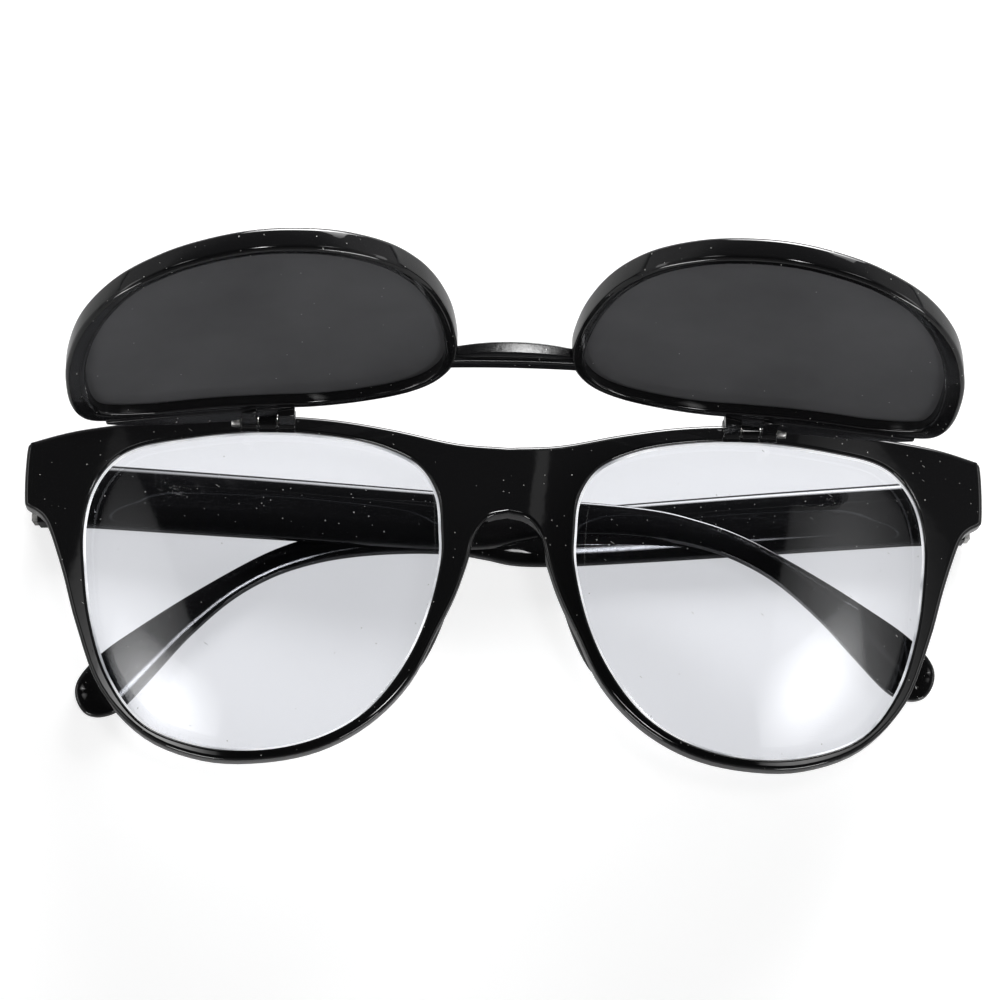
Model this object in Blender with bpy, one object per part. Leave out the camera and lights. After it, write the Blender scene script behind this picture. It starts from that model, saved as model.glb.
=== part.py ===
"""Flip-up welding glasses: a plastic front with clear lenses, a dark shade hinged at the brow, two folding temples.

The front is drawn as seen by the viewer, in millimetres: x across, y up from the lens centres, z forward from
the bridge. The pair lies on its back with both temples folded and the shade raised.
"""
import math

import bmesh
import bpy
from mathutils import Vector

MM = 0.001

# Main sizes. The outlines are drawn for a front of the drawn sizes, and are stretched to these.
FRONT_HALF_WIDTH = 74.6
FRONT_HEIGHT = 53.5
TEMPLE_LENGTH = 137.1
DRAWN_HALF_WIDTH = 74.6
DRAWN_HEIGHT = 53.5
DRAWN_TEMPLE_LENGTH = 137.1
WIDE = FRONT_HALF_WIDTH / DRAWN_HALF_WIDTH
HIGH = FRONT_HEIGHT / DRAWN_HEIGHT
BROW_TOP = 28.0 * HIGH

# Front
WRAP_RADIUS = 250.0
FRONT_THICKNESS = 4.0
FRONT_EDGE_ROUND = 0.8
FRONT_BACK_ROUND = 0.8
FRONT_INNER_ROUND = 0.4
WRAP_STEP = 5.0
WELD_DISTANCE = 0.02

# Clear lenses and the groove that holds them
CLEAR_LENS_THICKNESS = 2.0
CLEAR_LENS_SETBACK = 1.1
CLEAR_LENS_LAP = 0.55
GROOVE_CLEARANCE = 0.12

# Shade
SHADE_STANDOFF = 3.1
SHADE_DEPTH = 3.6
SHADE_RIM_WIDTH = 1.8
SHADE_RIM_SPREAD = 1.1
SHADE_RIM_SPREAD_FROM = 54.0 * WIDE
SHADE_RIM_SPREAD_TO = 63.0 * WIDE
SHADE_EDGE_ROUND = 0.8
SHADE_INNER_ROUND = 0.4
DARK_LENS_THICKNESS = 1.4
DARK_LENS_RECESS = 1.7
DARK_LENS_LAP = 0.6
SHADE_BAR_HEIGHT = 3.2
SHADE_BAR_BACK = 0.25
SHADE_BAR_DEPTH = 2.7
SHADE_BAR_Y = 10.9 * HIGH
SHADE_BAR_LAP = 1.0
SHADE_BAR_HALF_SPAN = 8.9 * WIDE + SHADE_BAR_LAP
SHADE_BAR_EDGE_ROUND = 0.7
SHADE_WEB_DEPTH = 2.3
SHADE_WEB_SETBACK = 0.15
SHADE_RAISED_DEG = 102.0

# Shade hinges, one over each lens
SHADE_HINGE_X = 36.9 * WIDE
SHADE_HINGE_Y = BROW_TOP - 1.8
SHADE_HINGE_Z = 0.5
SHADE_BARREL_RADIUS = 1.7
SHADE_PIN_RADIUS = 0.6
SHADE_PIN_HEAD_RADIUS = 0.95
SHADE_PIN_HEAD_LENGTH = 1.1
SHADE_PIN_SETBACK = 0.6
KNUCKLE_HALF = 1.4
KNUCKLE_SINK = 0.8
KNUCKLE_ARM_INSET = 0.1
KNUCKLE_INNER_X = SHADE_HINGE_X - KNUCKLE_HALF
KNUCKLE_OUTER_X = SHADE_HINGE_X + KNUCKLE_HALF
SHADE_BLOCK_INNER_X = KNUCKLE_INNER_X - 2.8
SHADE_BLOCK_OUTER_X = KNUCKLE_OUTER_X + 2.7
SHADE_BLOCK_INNER_FOOT_Y = 22.0 * HIGH
SHADE_BLOCK_OUTER_FOOT_Y = 21.3 * HIGH
BARREL_FACE = SHADE_BARREL_RADIUS - 0.15
KNUCKLE_SIDE_GAP = 0.12
PIN_CLEARANCE = 0.05

# Moulded swellings that rest on the nose
NOSE_PAD_RADII = (1.5, 7.5, 1.75)
NOSE_PAD_LEAN = -0.36
NOSE_PAD_PLACE = (11.1 * WIDE, -3.6 * HIGH, -5.4)

# Temple hinges
HINGE_X = FRONT_HALF_WIDTH - 4.4
HINGE_Y = 20.3 * HIGH
HINGE_Z = -22.6
HINGE_LEAN_DEG = 0.6
HINGE_BARREL_RADIUS = 1.6
HINGE_SCREW_RADIUS = 0.7
HINGE_SCREW_HEAD_RADIUS = 1.25
HINGE_SCREW_HEAD_HEIGHT = 0.7
HINGE_KNUCKLE_HALF = 1.2
HINGE_BARREL_HALF = 4.0
HINGE_KNUCKLE_GAP = 0.15
LEAF_THICKNESS = 0.8
LEAF_CLEARANCE = 0.08
LUG_BACK = 4.7
LUG_LEAF_INNER_X = -4.7
LUG_LEAF_OUTER_X = 3.3
LUG_LEAF_HALF_HEIGHT = 4.2
TEMPLE_CORE_LENGTH = 12.6
TEMPLE_CORE_LOW = -3.4
TEMPLE_CORE_HIGH = 2.6
TEMPLE_CORE_LEVEL = -1.7
NECK_HALF_HEIGHT = 1.1
NECK_LAP = 0.4
BARREL_LAP = 0.7
BUTT_NECK_LOW = -1.3
BUTT_NECK_HIGH = -0.4
BUTT_PLATE_LOW = (-4.7, -3.6)
BUTT_PLATE_HIGH = (3.6, -0.4)
RIVET_RADIUS = 0.55
RIVET_HEAD_RADIUS = 1.0
RIVET_HEAD_HEIGHT = 0.4
RIVET_DEPTH = 2.4
LUG_RIVET_X = -3.3
LUG_RIVET_LEVELS = (-2.8, 2.8)

# Temples
TEMPLE_THICKNESS = 4.4
TEMPLE_END_THICKNESS = 2.8
TEMPLE_TAPER_LENGTH = 100.0
TEMPLE_DROP_DEG = 4.55
TEMPLE_BUTT = 4.3
TEMPLE_BUTT_DRAFT = 0.105
TEMPLE_EDGE_ROUND = 1.0
TEMPLE_STACK = TEMPLE_THICKNESS + 1.37
RIGHT_TEMPLE_LIFT_DEG = math.degrees(math.atan(TEMPLE_STACK / HINGE_X))
BARREL_NOTCH_RADIUS = 2.0

# Where the front lies above the table
BRIDGE_HEIGHT = TEMPLE_THICKNESS - HINGE_Z
REST_FACE_Y = 14.6

# Half outlines as seen from the front, from the middle outward
NOSE_AND_RIM = [
    (0, 12.7), (3.0, 11.9), (5.0, 9.3), (6.1, 5.2), (7.9, 0.0), (10.4, -5.3), (14.5, -13.4), (20.5, -19.7),
    (28.0, -23.8), (36.6, -25.5), (45.6, -25.1), (54.6, -21.5), (61.6, -14.1), (65.6, -4.2), (68.0, 4.0),
    (70.1, 10.2), (71.3, 12.8),
]
LUG_CORNERS = [(72.6, 14.1), (74.1, 15.0), (74.5, 15.9), (74.6, 20.0), (74.4, 24.0), (74.0, 24.9), (73.2, 25.3)]
BROW = [
    (73.2, 25.3), (66.4, 26.4), (56.0, 27.4), (45.0, 27.95), (36.0, 28.0), (26.5, 27.2), (17.3, 25.6), (8.0, 23.6),
    (0, 23.05),
]
LENS_OPENING = [
    (10.3, 4.4), (10.2, 10.0), (10.9, 15.6), (13.7, 20.1), (18.7, 22.8), (24.8, 24.4), (33.0, 25.4), (41.5, 25.5),
    (50.6, 24.7), (57.2, 23.6), (61.2, 21.2), (63.9, 17.0), (65.0, 11.6), (64.8, 5.5), (63.5, -3.4), (60.4, -12.5),
    (54.7, -19.8), (45.8, -23.4), (36.5, -24.0), (28.1, -22.2), (21.3, -18.3), (16.2, -12.2), (12.5, -4.6),
]
SHADE_OUTLINE = [
    (8.9, 8.9), (9.1, 3.9), (10.2, -3.1), (12.4, -10.1), (15.2, -15.6), (19.3, -20.3), (25.4, -24.0), (31.5, -25.9),
    (38.0, -26.6), (44.4, -25.8), (50.9, -23.6), (57.7, -18.9), (62.8, -11.3), (65.4, -2.1), (66.0, 5.9),
    (65.5, 12.5), (63.7, 16.8), (60.0, 18.8), (53.8, 19.9), (44.6, 21.0), (36.0, 22.3), (29.9, 23.1), (23.3, 22.7),
    (17.0, 20.9), (12.5, 17.8), (9.8, 13.5),
]

# Web that runs behind the shade's hinge and tapers along the top of the ring
SHADE_WEB = [
    (33.0, 22.0), (33.0, 23.9), (41.3, 23.9), (42.8, 24.3), (51.0, 22.7), (59.5, 19.9), (62.6, 17.9), (61.8, 17.2),
    (59.0, 18.2), (51.0, 19.7), (42.6, 20.8), (37.0, 21.6),
]

# The lug's block, drawn from the hinge axis
LUG_BLOCK = [(-4.7, -6.0), (1.8, -6.0), (3.9, -4.7), (3.9, 4.1), (2.8, 4.6), (-4.7, 5.3)]

# Temple outline: distance from the hinge axis, and height about a centre line that drops toward the tip
TEMPLE_OUTLINE = [
    (0, 5.05), (31, 5.0), (59, 4.7), (81, 4.5), (93, 4.1), (100, 3.0), (108, 0.6), (118.7, -4.7), (127.2, -9.6),
    (133.2, -13.5), (136.6, -17.2), (137.1, -20.2), (135.5, -22.9), (132.7, -23.5), (129.4, -22.1), (124.5, -17.0),
    (119.6, -11.7), (113.2, -6.3), (106.7, -2.9), (100, -1.1), (93, -0.4), (85, -0.5), (78, -1.2), (73, -2.4),
    (68, -3.8), (61, -4.4), (49, -4.65), (31, -4.8), (0, -5.0),
]


def clear_scene():
    for obj in list(bpy.data.objects):
        bpy.data.objects.remove(obj, do_unlink=True)


def new_collection(name):
    collection = bpy.data.collections.new(name)
    bpy.context.scene.collection.children.link(collection)
    return collection


def plastic_or_metal(name, colour, metallic, roughness, alpha=1.0):
    material = bpy.data.materials.new(name)
    material.use_nodes = True
    shader = material.node_tree.nodes["Principled BSDF"]
    shader.inputs["Base Color"].default_value = (*colour, 1.0)
    shader.inputs["Metallic"].default_value = metallic
    shader.inputs["Roughness"].default_value = roughness
    shader.inputs["Alpha"].default_value = alpha
    return material


# Outlines

def fitted(points):
    """Points of the front or the shade, stretched from the drawn size."""
    return [(x * WIDE, y * HIGH) for x, y in points]


def smooth(points, closed=False, steps=2):
    """A Catmull-Rom line through the points."""
    count = len(points)
    spans = count if closed else count - 1
    line = []
    for i in range(spans):
        p1 = Vector(points[i])
        p2 = Vector(points[(i + 1) % count])
        p0 = Vector(points[i - 1]) if closed or i > 0 else p1 * 2 - p2
        p3 = Vector(points[(i + 2) % count]) if closed or i + 2 < count else p2 * 2 - p1
        for step in range(steps):
            t = step / steps
            line.append(tuple(
                (p1 * 2 + (p2 - p0) * t + (p0 * 2 - p1 * 5 + p2 * 4 - p3) * t * t
                 + (p1 * 3 - p0 - p2 * 3 + p3) * t ** 3) / 2
            ))
    if not closed:
        line.append(tuple(points[-1]))
    return line


def mirrored(half):
    """A closed outline from a half that starts and ends on the middle line."""
    return half + [(-x, y) for x, y in reversed(half[1:-1])]


def on_side(outline, side):
    return [(x * side, y) for x, y in outline]


def signed_area(outline):
    total = 0.0
    for i, (x, y) in enumerate(outline):
        next_x, next_y = outline[(i + 1) % len(outline)]
        total += x * next_y - next_x * y
    return total / 2


def offset(outline, distance):
    """The outline moved outward by the distance, or inward where it is negative."""
    turn = 1 if signed_area(outline) > 0 else -1
    moved = []
    for i, point in enumerate(outline):
        before = Vector(outline[i - 1])
        after = Vector(outline[(i + 1) % len(outline)])
        along = (after - before).normalized()
        moved.append((point[0] + turn * along.y * distance, point[1] - turn * along.x * distance))
    return moved


def front_outline():
    half = smooth(NOSE_AND_RIM)[:-1] + LUG_CORNERS[:-1] + smooth(BROW)
    return mirrored(fitted(half))


def temple_outline():
    """Closed outline of a temple, with its drop and the straight end that meets the lug."""
    drop = math.tan(math.radians(TEMPLE_DROP_DEG))
    longer = TEMPLE_LENGTH / DRAWN_TEMPLE_LENGTH
    line = [(x * longer, y - drop * x) for x, y in smooth(TEMPLE_OUTLINE)]
    butt = -TEMPLE_BUTT + LEAF_THICKNESS + LEAF_CLEARANCE
    return line + [(butt, line[-1][1]), (butt, line[0][1])]


# Solids

def mesh_object(name, bm, collection, material=None, location=(0, 0, 0)):
    """Scales a millimetre shape to metres and makes it an object."""
    bmesh.ops.recalc_face_normals(bm, faces=bm.faces)
    bmesh.ops.scale(bm, vec=(MM, MM, MM), verts=bm.verts)
    mesh = bpy.data.meshes.new(name)
    bm.to_mesh(mesh)
    bm.free()
    obj = bpy.data.objects.new(name, mesh)
    obj.location = Vector(location) * MM
    collection.objects.link(obj)
    if material:
        mesh.materials.append(material)
    else:
        obj.hide_render = True
        obj.display_type = "WIRE"
    return obj


def prism(outline, z_low, z_high):
    bm = bmesh.new()
    face = bm.faces.new([bm.verts.new((x, y, z_low)) for x, y in outline])
    made = bmesh.ops.extrude_face_region(bm, geom=[face])
    top = [v for v in made["geom"] if isinstance(v, bmesh.types.BMVert)]
    bmesh.ops.translate(bm, vec=(0, 0, z_high - z_low), verts=top)
    bmesh.ops.recalc_face_normals(bm, faces=bm.faces)
    return bm


def box(low, high):
    bm = bmesh.new()
    bmesh.ops.create_cube(bm, size=1.0)
    low, high = Vector(low), Vector(high)
    bmesh.ops.scale(bm, vec=high - low, verts=bm.verts)
    bmesh.ops.translate(bm, vec=(low + high) / 2, verts=bm.verts)
    return bm


def rod(radius, start, end, segments=24):
    """A cylinder between two points."""
    bm = bmesh.new()
    start, end = Vector(start), Vector(end)
    bmesh.ops.create_cone(
        bm, cap_ends=True, segments=segments, radius1=radius, radius2=radius, depth=(end - start).length
    )
    turn = Vector((0, 0, 1)).rotation_difference(end - start).to_matrix()
    bmesh.ops.rotate(bm, cent=(0, 0, 0), matrix=turn, verts=bm.verts)
    bmesh.ops.translate(bm, vec=(start + end) / 2, verts=bm.verts)
    return bm


def round_edges(bm, width, segments, keep):
    """Rounds the sharp edges whose two ends pass the test."""
    edges = [
        e for e in bm.edges
        if len(e.link_faces) == 2 and e.calc_face_angle(0) > math.radians(50) and all(keep(v.co) for v in e.verts)
    ]
    bmesh.ops.bevel(bm, geom=edges, offset=width, segments=segments, profile=0.5, affect="EDGES", clamp_overlap=True)


def slice_across(bm, reach):
    """Cuts the shape at regular x, so that it can bend."""
    count = int(reach // WRAP_STEP)
    for i in range(-count, count + 1):
        bmesh.ops.bisect_plane(
            bm, geom=bm.verts[:] + bm.edges[:] + bm.faces[:], dist=1e-5, plane_co=(i * WRAP_STEP, 0, 0),
            plane_no=(1, 0, 0),
        )
    bmesh.ops.remove_doubles(bm, verts=bm.verts, dist=WELD_DISTANCE)


def wrap(x):
    """How far the front's surface falls back at x."""
    return x * x / (2 * WRAP_RADIUS)


def bend(bm):
    for vert in bm.verts:
        vert.co.z -= wrap(vert.co.x)


def add_boolean(obj, other, operation):
    modifier = obj.modifiers.new(other.name, "BOOLEAN")
    modifier.operation = operation
    modifier.object = other
    modifier.solver = "EXACT"


def cut(obj, other):
    add_boolean(obj, other, "DIFFERENCE")


def join(obj, other):
    add_boolean(obj, other, "UNION")


def baked(obj):
    """The object's shape in millimetres with its modifiers applied."""
    bpy.context.view_layer.update()
    graph = bpy.context.evaluated_depsgraph_get()
    bm = bmesh.new()
    bm.from_mesh(obj.evaluated_get(graph).to_mesh())
    bmesh.ops.scale(bm, vec=(1 / MM, 1 / MM, 1 / MM), verts=bm.verts)
    return bm


def drilled_plate(name, plate, openings, z_low, z_high, cutters):
    """A flat plate with the openings cut right through."""
    obj = mesh_object(name + "_blank", plate, cutters)
    for i, outline in enumerate(openings):
        cut(obj, mesh_object(f"{name}_opening_{i}", prism(outline, z_low - 1, z_high + 1), cutters))
    return baked(obj)


def grooved_plate(name, plate, grooves, z_low, z_high, cutters):
    obj = mesh_object(name + "_plate", plate, cutters)
    for i, outline in enumerate(grooves):
        cut(obj, mesh_object(f"{name}_groove_{i}", prism(outline, z_low, z_high), cutters))
    return baked(obj)


# Front

def lens_opening(side):
    return on_side(fitted(smooth(LENS_OPENING, closed=True)), side)


def front_plate(cutters):
    """The front with its lens grooves, bent to the wrap."""
    back = -FRONT_THICKNESS
    plate = prism(front_outline(), back, 0)
    round_edges(plate, FRONT_EDGE_ROUND, 2, lambda co: co.z > -0.01)
    round_edges(plate, FRONT_BACK_ROUND, 1, lambda co: co.z < back + 0.01)
    openings = [lens_opening(side) for side in (1, -1)]
    plate = drilled_plate("front", plate, openings, back, 0, cutters)
    round_edges(plate, FRONT_INNER_ROUND, 1, lambda co: co.z > -0.01 or co.z < back + 0.01)
    grooves = [offset(opening, CLEAR_LENS_LAP + GROOVE_CLEARANCE) for opening in openings]
    groove_top = -CLEAR_LENS_SETBACK + GROOVE_CLEARANCE
    groove_bottom = -CLEAR_LENS_SETBACK - CLEAR_LENS_THICKNESS - GROOVE_CLEARANCE
    plate = grooved_plate("front", plate, grooves, groove_bottom, groove_top, cutters)
    slice_across(plate, HINGE_X + TEMPLE_BUTT)
    bend(plate)
    return plate


def lug_block(side):
    """The thick end of the front that carries the temple hinge."""
    outline = [(HINGE_X + x, HINGE_Y + y) for x, y in LUG_BLOCK]
    middle_of_plate = -wrap(HINGE_X) - FRONT_THICKNESS / 2
    bm = prism(on_side(outline, side), HINGE_Z + LUG_BACK, middle_of_plate)
    round_edges(bm, FRONT_INNER_ROUND, 1, lambda co: True)
    return bm


def nose_pad(side):
    """A moulded swelling behind the rim where the front sits on the nose."""
    bm = bmesh.new()
    bmesh.ops.create_uvsphere(bm, u_segments=16, v_segments=10, radius=1.0)
    bmesh.ops.scale(bm, vec=NOSE_PAD_RADII, verts=bm.verts)
    for vert in bm.verts:
        vert.co.x += NOSE_PAD_LEAN * vert.co.y
        vert.co += Vector(NOSE_PAD_PLACE)
        vert.co.x *= side
    return bm


def shade_knuckle(side):
    """The arm and barrel on the front that the shade's pin passes through."""
    low, high = sorted((KNUCKLE_INNER_X * side, KNUCKLE_OUTER_X * side))
    y, z = SHADE_HINGE_Y, SHADE_HINGE_Z
    seat = -wrap(SHADE_HINGE_X)
    inset = KNUCKLE_ARM_INSET
    arm = box((low + inset, y - 0.3, seat - KNUCKLE_SINK), (high - inset, y + BARREL_FACE, z))
    foot = box((low - 0.6, y - 0.5, seat - KNUCKLE_SINK + 0.1), (high + 0.6, y + 1.4, seat + 0.7))
    round_edges(foot, 0.3, 1, lambda co: True)
    barrel = rod(SHADE_BARREL_RADIUS, (low, y, z), (high, y, z))
    return arm, foot, barrel


def make_front(collection, cutters, plastic):
    place = (0, -REST_FACE_Y, BRIDGE_HEIGHT)
    front = mesh_object("front_frame", front_plate(cutters), collection, plastic, place)
    for side, word in ((1, "left"), (-1, "right")):
        join(front, mesh_object(f"lug_block_{word}", lug_block(side), cutters, None, place))
        join(front, mesh_object(f"nose_pad_{word}", nose_pad(side), cutters, None, place))
        for i, bm in enumerate(shade_knuckle(side)):
            join(front, mesh_object(f"knuckle_{i}_{word}", bm, cutters, None, place))
        low, high = sorted((SHADE_BLOCK_INNER_X * side, SHADE_BLOCK_OUTER_X * side))
        bore = rod(
            SHADE_PIN_RADIUS + PIN_CLEARANCE, (low, SHADE_HINGE_Y, SHADE_HINGE_Z), (high, SHADE_HINGE_Y, SHADE_HINGE_Z)
        )
        cut(front, mesh_object(f"knuckle_bore_{word}", bore, cutters, None, place))
        hinge = hinge_place(side)
        cut(front, hinge_part(f"lug_pocket_{word}", lug_leaf_pocket(), side, cutters, None, hinge))
        for level in LUG_RIVET_LEVELS:
            start = (LUG_RIVET_X, level, LUG_BACK)
            hole = rod(RIVET_RADIUS + PIN_CLEARANCE, start, (LUG_RIVET_X, level, LUG_BACK + RIVET_DEPTH + 0.3))
            cut(front, hinge_part(f"lug_rivet_hole_{word}_{level}", hole, side, cutters, None, hinge))
    return front


def make_clear_lens(side, word, collection, glass):
    outline = offset(lens_opening(side), CLEAR_LENS_LAP)
    lens = prism(outline, -CLEAR_LENS_SETBACK - CLEAR_LENS_THICKNESS, -CLEAR_LENS_SETBACK)
    slice_across(lens, HINGE_X)
    bend(lens)
    return mesh_object(f"clear_lens_{word}", lens, collection, glass, (0, -REST_FACE_Y, BRIDGE_HEIGHT))


# Shade, drawn closed and hung on its axis

def shade_outline(side):
    return on_side(fitted(smooth(SHADE_OUTLINE, closed=True)), side)


def shade_opening(side):
    """The opening of a ring, whose rim is broader toward the temple."""
    outline = shade_outline(side)
    narrow = offset(outline, -SHADE_RIM_WIDTH)
    broad = offset(outline, -SHADE_RIM_WIDTH - SHADE_RIM_SPREAD)
    opening = []
    for (x, y), near, far in zip(outline, narrow, broad):
        share = (abs(x) - SHADE_RIM_SPREAD_FROM) / (SHADE_RIM_SPREAD_TO - SHADE_RIM_SPREAD_FROM)
        opening.append(tuple(Vector(near).lerp(Vector(far), min(1.0, max(0.0, share)))))
    return opening


def to_shade_axis(bm):
    bmesh.ops.translate(bm, vec=(0, -SHADE_HINGE_Y, -SHADE_HINGE_Z), verts=bm.verts)
    return bm


def shade_ring(side, word, cutters):
    back = SHADE_STANDOFF
    face = SHADE_STANDOFF + SHADE_DEPTH
    ring = prism(shade_outline(side), back, face)
    round_edges(ring, SHADE_EDGE_ROUND, 2, lambda co: True)
    opening = shade_opening(side)
    ring = drilled_plate(f"shade_{word}", ring, [opening], back, face, cutters)
    round_edges(ring, SHADE_INNER_ROUND, 1, lambda co: co.z < back + 0.01 or co.z > face - 0.01)
    groove = offset(opening, DARK_LENS_LAP + GROOVE_CLEARANCE)
    low = back + DARK_LENS_RECESS - GROOVE_CLEARANCE
    high = back + DARK_LENS_RECESS + DARK_LENS_THICKNESS + GROOVE_CLEARANCE
    ring = grooved_plate(f"shade_{word}", ring, [groove], low, high, cutters)
    slice_across(ring, HINGE_X)
    bend(ring)
    return to_shade_axis(ring)


def shade_bar():
    """The slim bar that ties the two rings over the bridge."""
    low = SHADE_STANDOFF + SHADE_BAR_BACK
    bar = box(
        (-SHADE_BAR_HALF_SPAN, SHADE_BAR_Y - SHADE_BAR_HEIGHT / 2, low),
        (SHADE_BAR_HALF_SPAN, SHADE_BAR_Y + SHADE_BAR_HEIGHT / 2, low + SHADE_BAR_DEPTH),
    )
    round_edges(bar, SHADE_BAR_EDGE_ROUND, 2, lambda co: True)
    slice_across(bar, SHADE_BAR_HALF_SPAN)
    bend(bar)
    return to_shade_axis(bar)


def shade_web(side):
    low = SHADE_STANDOFF + SHADE_WEB_SETBACK
    web = prism(on_side(fitted(SHADE_WEB), side), low, low + SHADE_WEB_DEPTH)
    slice_across(web, HINGE_X)
    bend(web)
    return to_shade_axis(web)


def shade_blocks(side):
    """The two blocks of one shade hinge, each a barrel with a foot that runs down into the ring."""
    shapes = []
    spans = (
        (SHADE_BLOCK_INNER_X, KNUCKLE_INNER_X - KNUCKLE_SIDE_GAP, SHADE_BLOCK_INNER_FOOT_Y),
        (KNUCKLE_OUTER_X + KNUCKLE_SIDE_GAP, SHADE_BLOCK_OUTER_X, SHADE_BLOCK_OUTER_FOOT_Y),
    )
    for near, far, foot_y in spans:
        low, high = sorted((near * side, far * side))
        low_corner = (low + KNUCKLE_ARM_INSET, foot_y - SHADE_HINGE_Y, -1.2)
        shapes.append(rod(SHADE_BARREL_RADIUS, (low, 0, 0), (high, 0, 0)))
        shapes.append(box(low_corner, (high - KNUCKLE_ARM_INSET, 0.35, BARREL_FACE)))
    return shapes


def make_shade(axis, collection, cutters, plastic):
    shade = mesh_object("shade_frame", shade_ring(1, "left", cutters), collection, plastic)
    parts = [mesh_object("shade_ring_right", shade_ring(-1, "right", cutters), cutters)]
    parts.append(mesh_object("shade_bar", shade_bar(), cutters))
    bores = []
    for side, word in ((1, "left"), (-1, "right")):
        parts.append(mesh_object(f"shade_web_{word}", shade_web(side), cutters))
        for i, bm in enumerate(shade_blocks(side)):
            parts.append(mesh_object(f"shade_block_{i}_{word}", bm, cutters))
        low, high = sorted(((SHADE_BLOCK_INNER_X - 1) * side, (SHADE_BLOCK_OUTER_X + 1) * side))
        bore = rod(SHADE_PIN_RADIUS + PIN_CLEARANCE, (low, 0, 0), (high, 0, 0))
        bores.append(mesh_object(f"shade_bore_{word}", bore, cutters))
    for part in parts:
        part.parent = axis
        join(shade, part)
    for bore in bores:
        bore.parent = axis
        cut(shade, bore)
    shade.parent = axis
    return shade


def make_dark_lens(side, word, axis, collection, glass):
    outline = offset(shade_opening(side), DARK_LENS_LAP)
    low = SHADE_STANDOFF + DARK_LENS_RECESS
    lens = prism(outline, low, low + DARK_LENS_THICKNESS)
    slice_across(lens, HINGE_X)
    bend(lens)
    obj = mesh_object(f"dark_lens_{word}", to_shade_axis(lens), collection, glass)
    obj.parent = axis
    return obj


def make_shade_pin(side, word, axis, collection, cutters, steel):
    inner = SHADE_BLOCK_INNER_X + SHADE_PIN_SETBACK
    head = SHADE_BLOCK_OUTER_X + PIN_CLEARANCE
    pin = mesh_object(
        f"shade_hinge_pin_{word}", rod(SHADE_PIN_RADIUS, (inner * side, 0, 0), (head * side, 0, 0)), collection, steel
    )
    cap = rod(SHADE_PIN_HEAD_RADIUS, (head * side, 0, 0), ((head + SHADE_PIN_HEAD_LENGTH) * side, 0, 0))
    cap = mesh_object(f"shade_pin_head_{word}", cap, cutters)
    for obj in (pin, cap):
        obj.parent = axis
    join(pin, cap)
    return pin


# Temple hinges, drawn for the left side with x outward, y up and z forward from the hinge axis

def hinge_place(side):
    return (HINGE_X * side, HINGE_Y - REST_FACE_Y, HINGE_Z + BRIDGE_HEIGHT)


def hinge_part(name, bm, side, collection, material, place):
    """A piece of one temple hinge that stays with the front."""
    bmesh.ops.scale(bm, vec=(side, 1, 1), verts=bm.verts)
    obj = mesh_object(name, bm, collection, material, place)
    obj.rotation_euler.z = math.radians(HINGE_LEAN_DEG)
    return obj


def temple_part(name, bm, side, axis, collection, material):
    """A piece that swings with the temple."""
    bmesh.ops.scale(bm, vec=(side, 1, 1), verts=bm.verts)
    obj = mesh_object(name, bm, collection, material)
    obj.parent = axis
    return obj


def lug_leaf_pocket():
    half = LUG_LEAF_HALF_HEIGHT + LEAF_CLEARANCE
    return box(
        (LUG_LEAF_INNER_X - LEAF_CLEARANCE, -half, LUG_BACK - 1),
        (LUG_LEAF_OUTER_X + LEAF_CLEARANCE, half, LUG_BACK + LEAF_THICKNESS + LEAF_CLEARANCE),
    )


def make_lug_leaf(side, word, collection, cutters, steel):
    """The metal leaf let into the lug, with an upper and a lower knuckle."""
    place = hinge_place(side)
    plate = box(
        (LUG_LEAF_INNER_X, -LUG_LEAF_HALF_HEIGHT, LUG_BACK + 0.02),
        (LUG_LEAF_OUTER_X, LUG_LEAF_HALF_HEIGHT, LUG_BACK + LEAF_THICKNESS),
    )
    leaf = hinge_part(f"lug_hinge_leaf_{word}", plate, side, collection, steel, place)
    for i, turn in enumerate((1, -1)):
        near = turn * (HINGE_KNUCKLE_HALF + HINGE_KNUCKLE_GAP)
        far = turn * HINGE_BARREL_HALF
        low, high = sorted((near, far))
        arm = box((-1.45, low + 0.05, 0), (-0.25, high - 0.05, LUG_BACK + 0.3))
        knuckle = rod(HINGE_BARREL_RADIUS, (0, low, 0), (0, high, 0))
        join(leaf, hinge_part(f"lug_arm_{i}_{word}", arm, side, cutters, None, place))
        join(leaf, hinge_part(f"lug_knuckle_{i}_{word}", knuckle, side, cutters, None, place))
    bore = rod(HINGE_SCREW_RADIUS + PIN_CLEARANCE, (0, -5, 0), (0, 5, 0))
    cut(leaf, hinge_part(f"lug_knuckle_bore_{word}", bore, side, cutters, None, place))
    for level in LUG_RIVET_LEVELS:
        hole = rod(RIVET_RADIUS + PIN_CLEARANCE, (LUG_RIVET_X, level, LUG_BACK - 1), (LUG_RIVET_X, level, LUG_BACK + 2))
        cut(leaf, hinge_part(f"lug_leaf_hole_{word}_{level}", hole, side, cutters, None, place))
    return leaf


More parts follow.
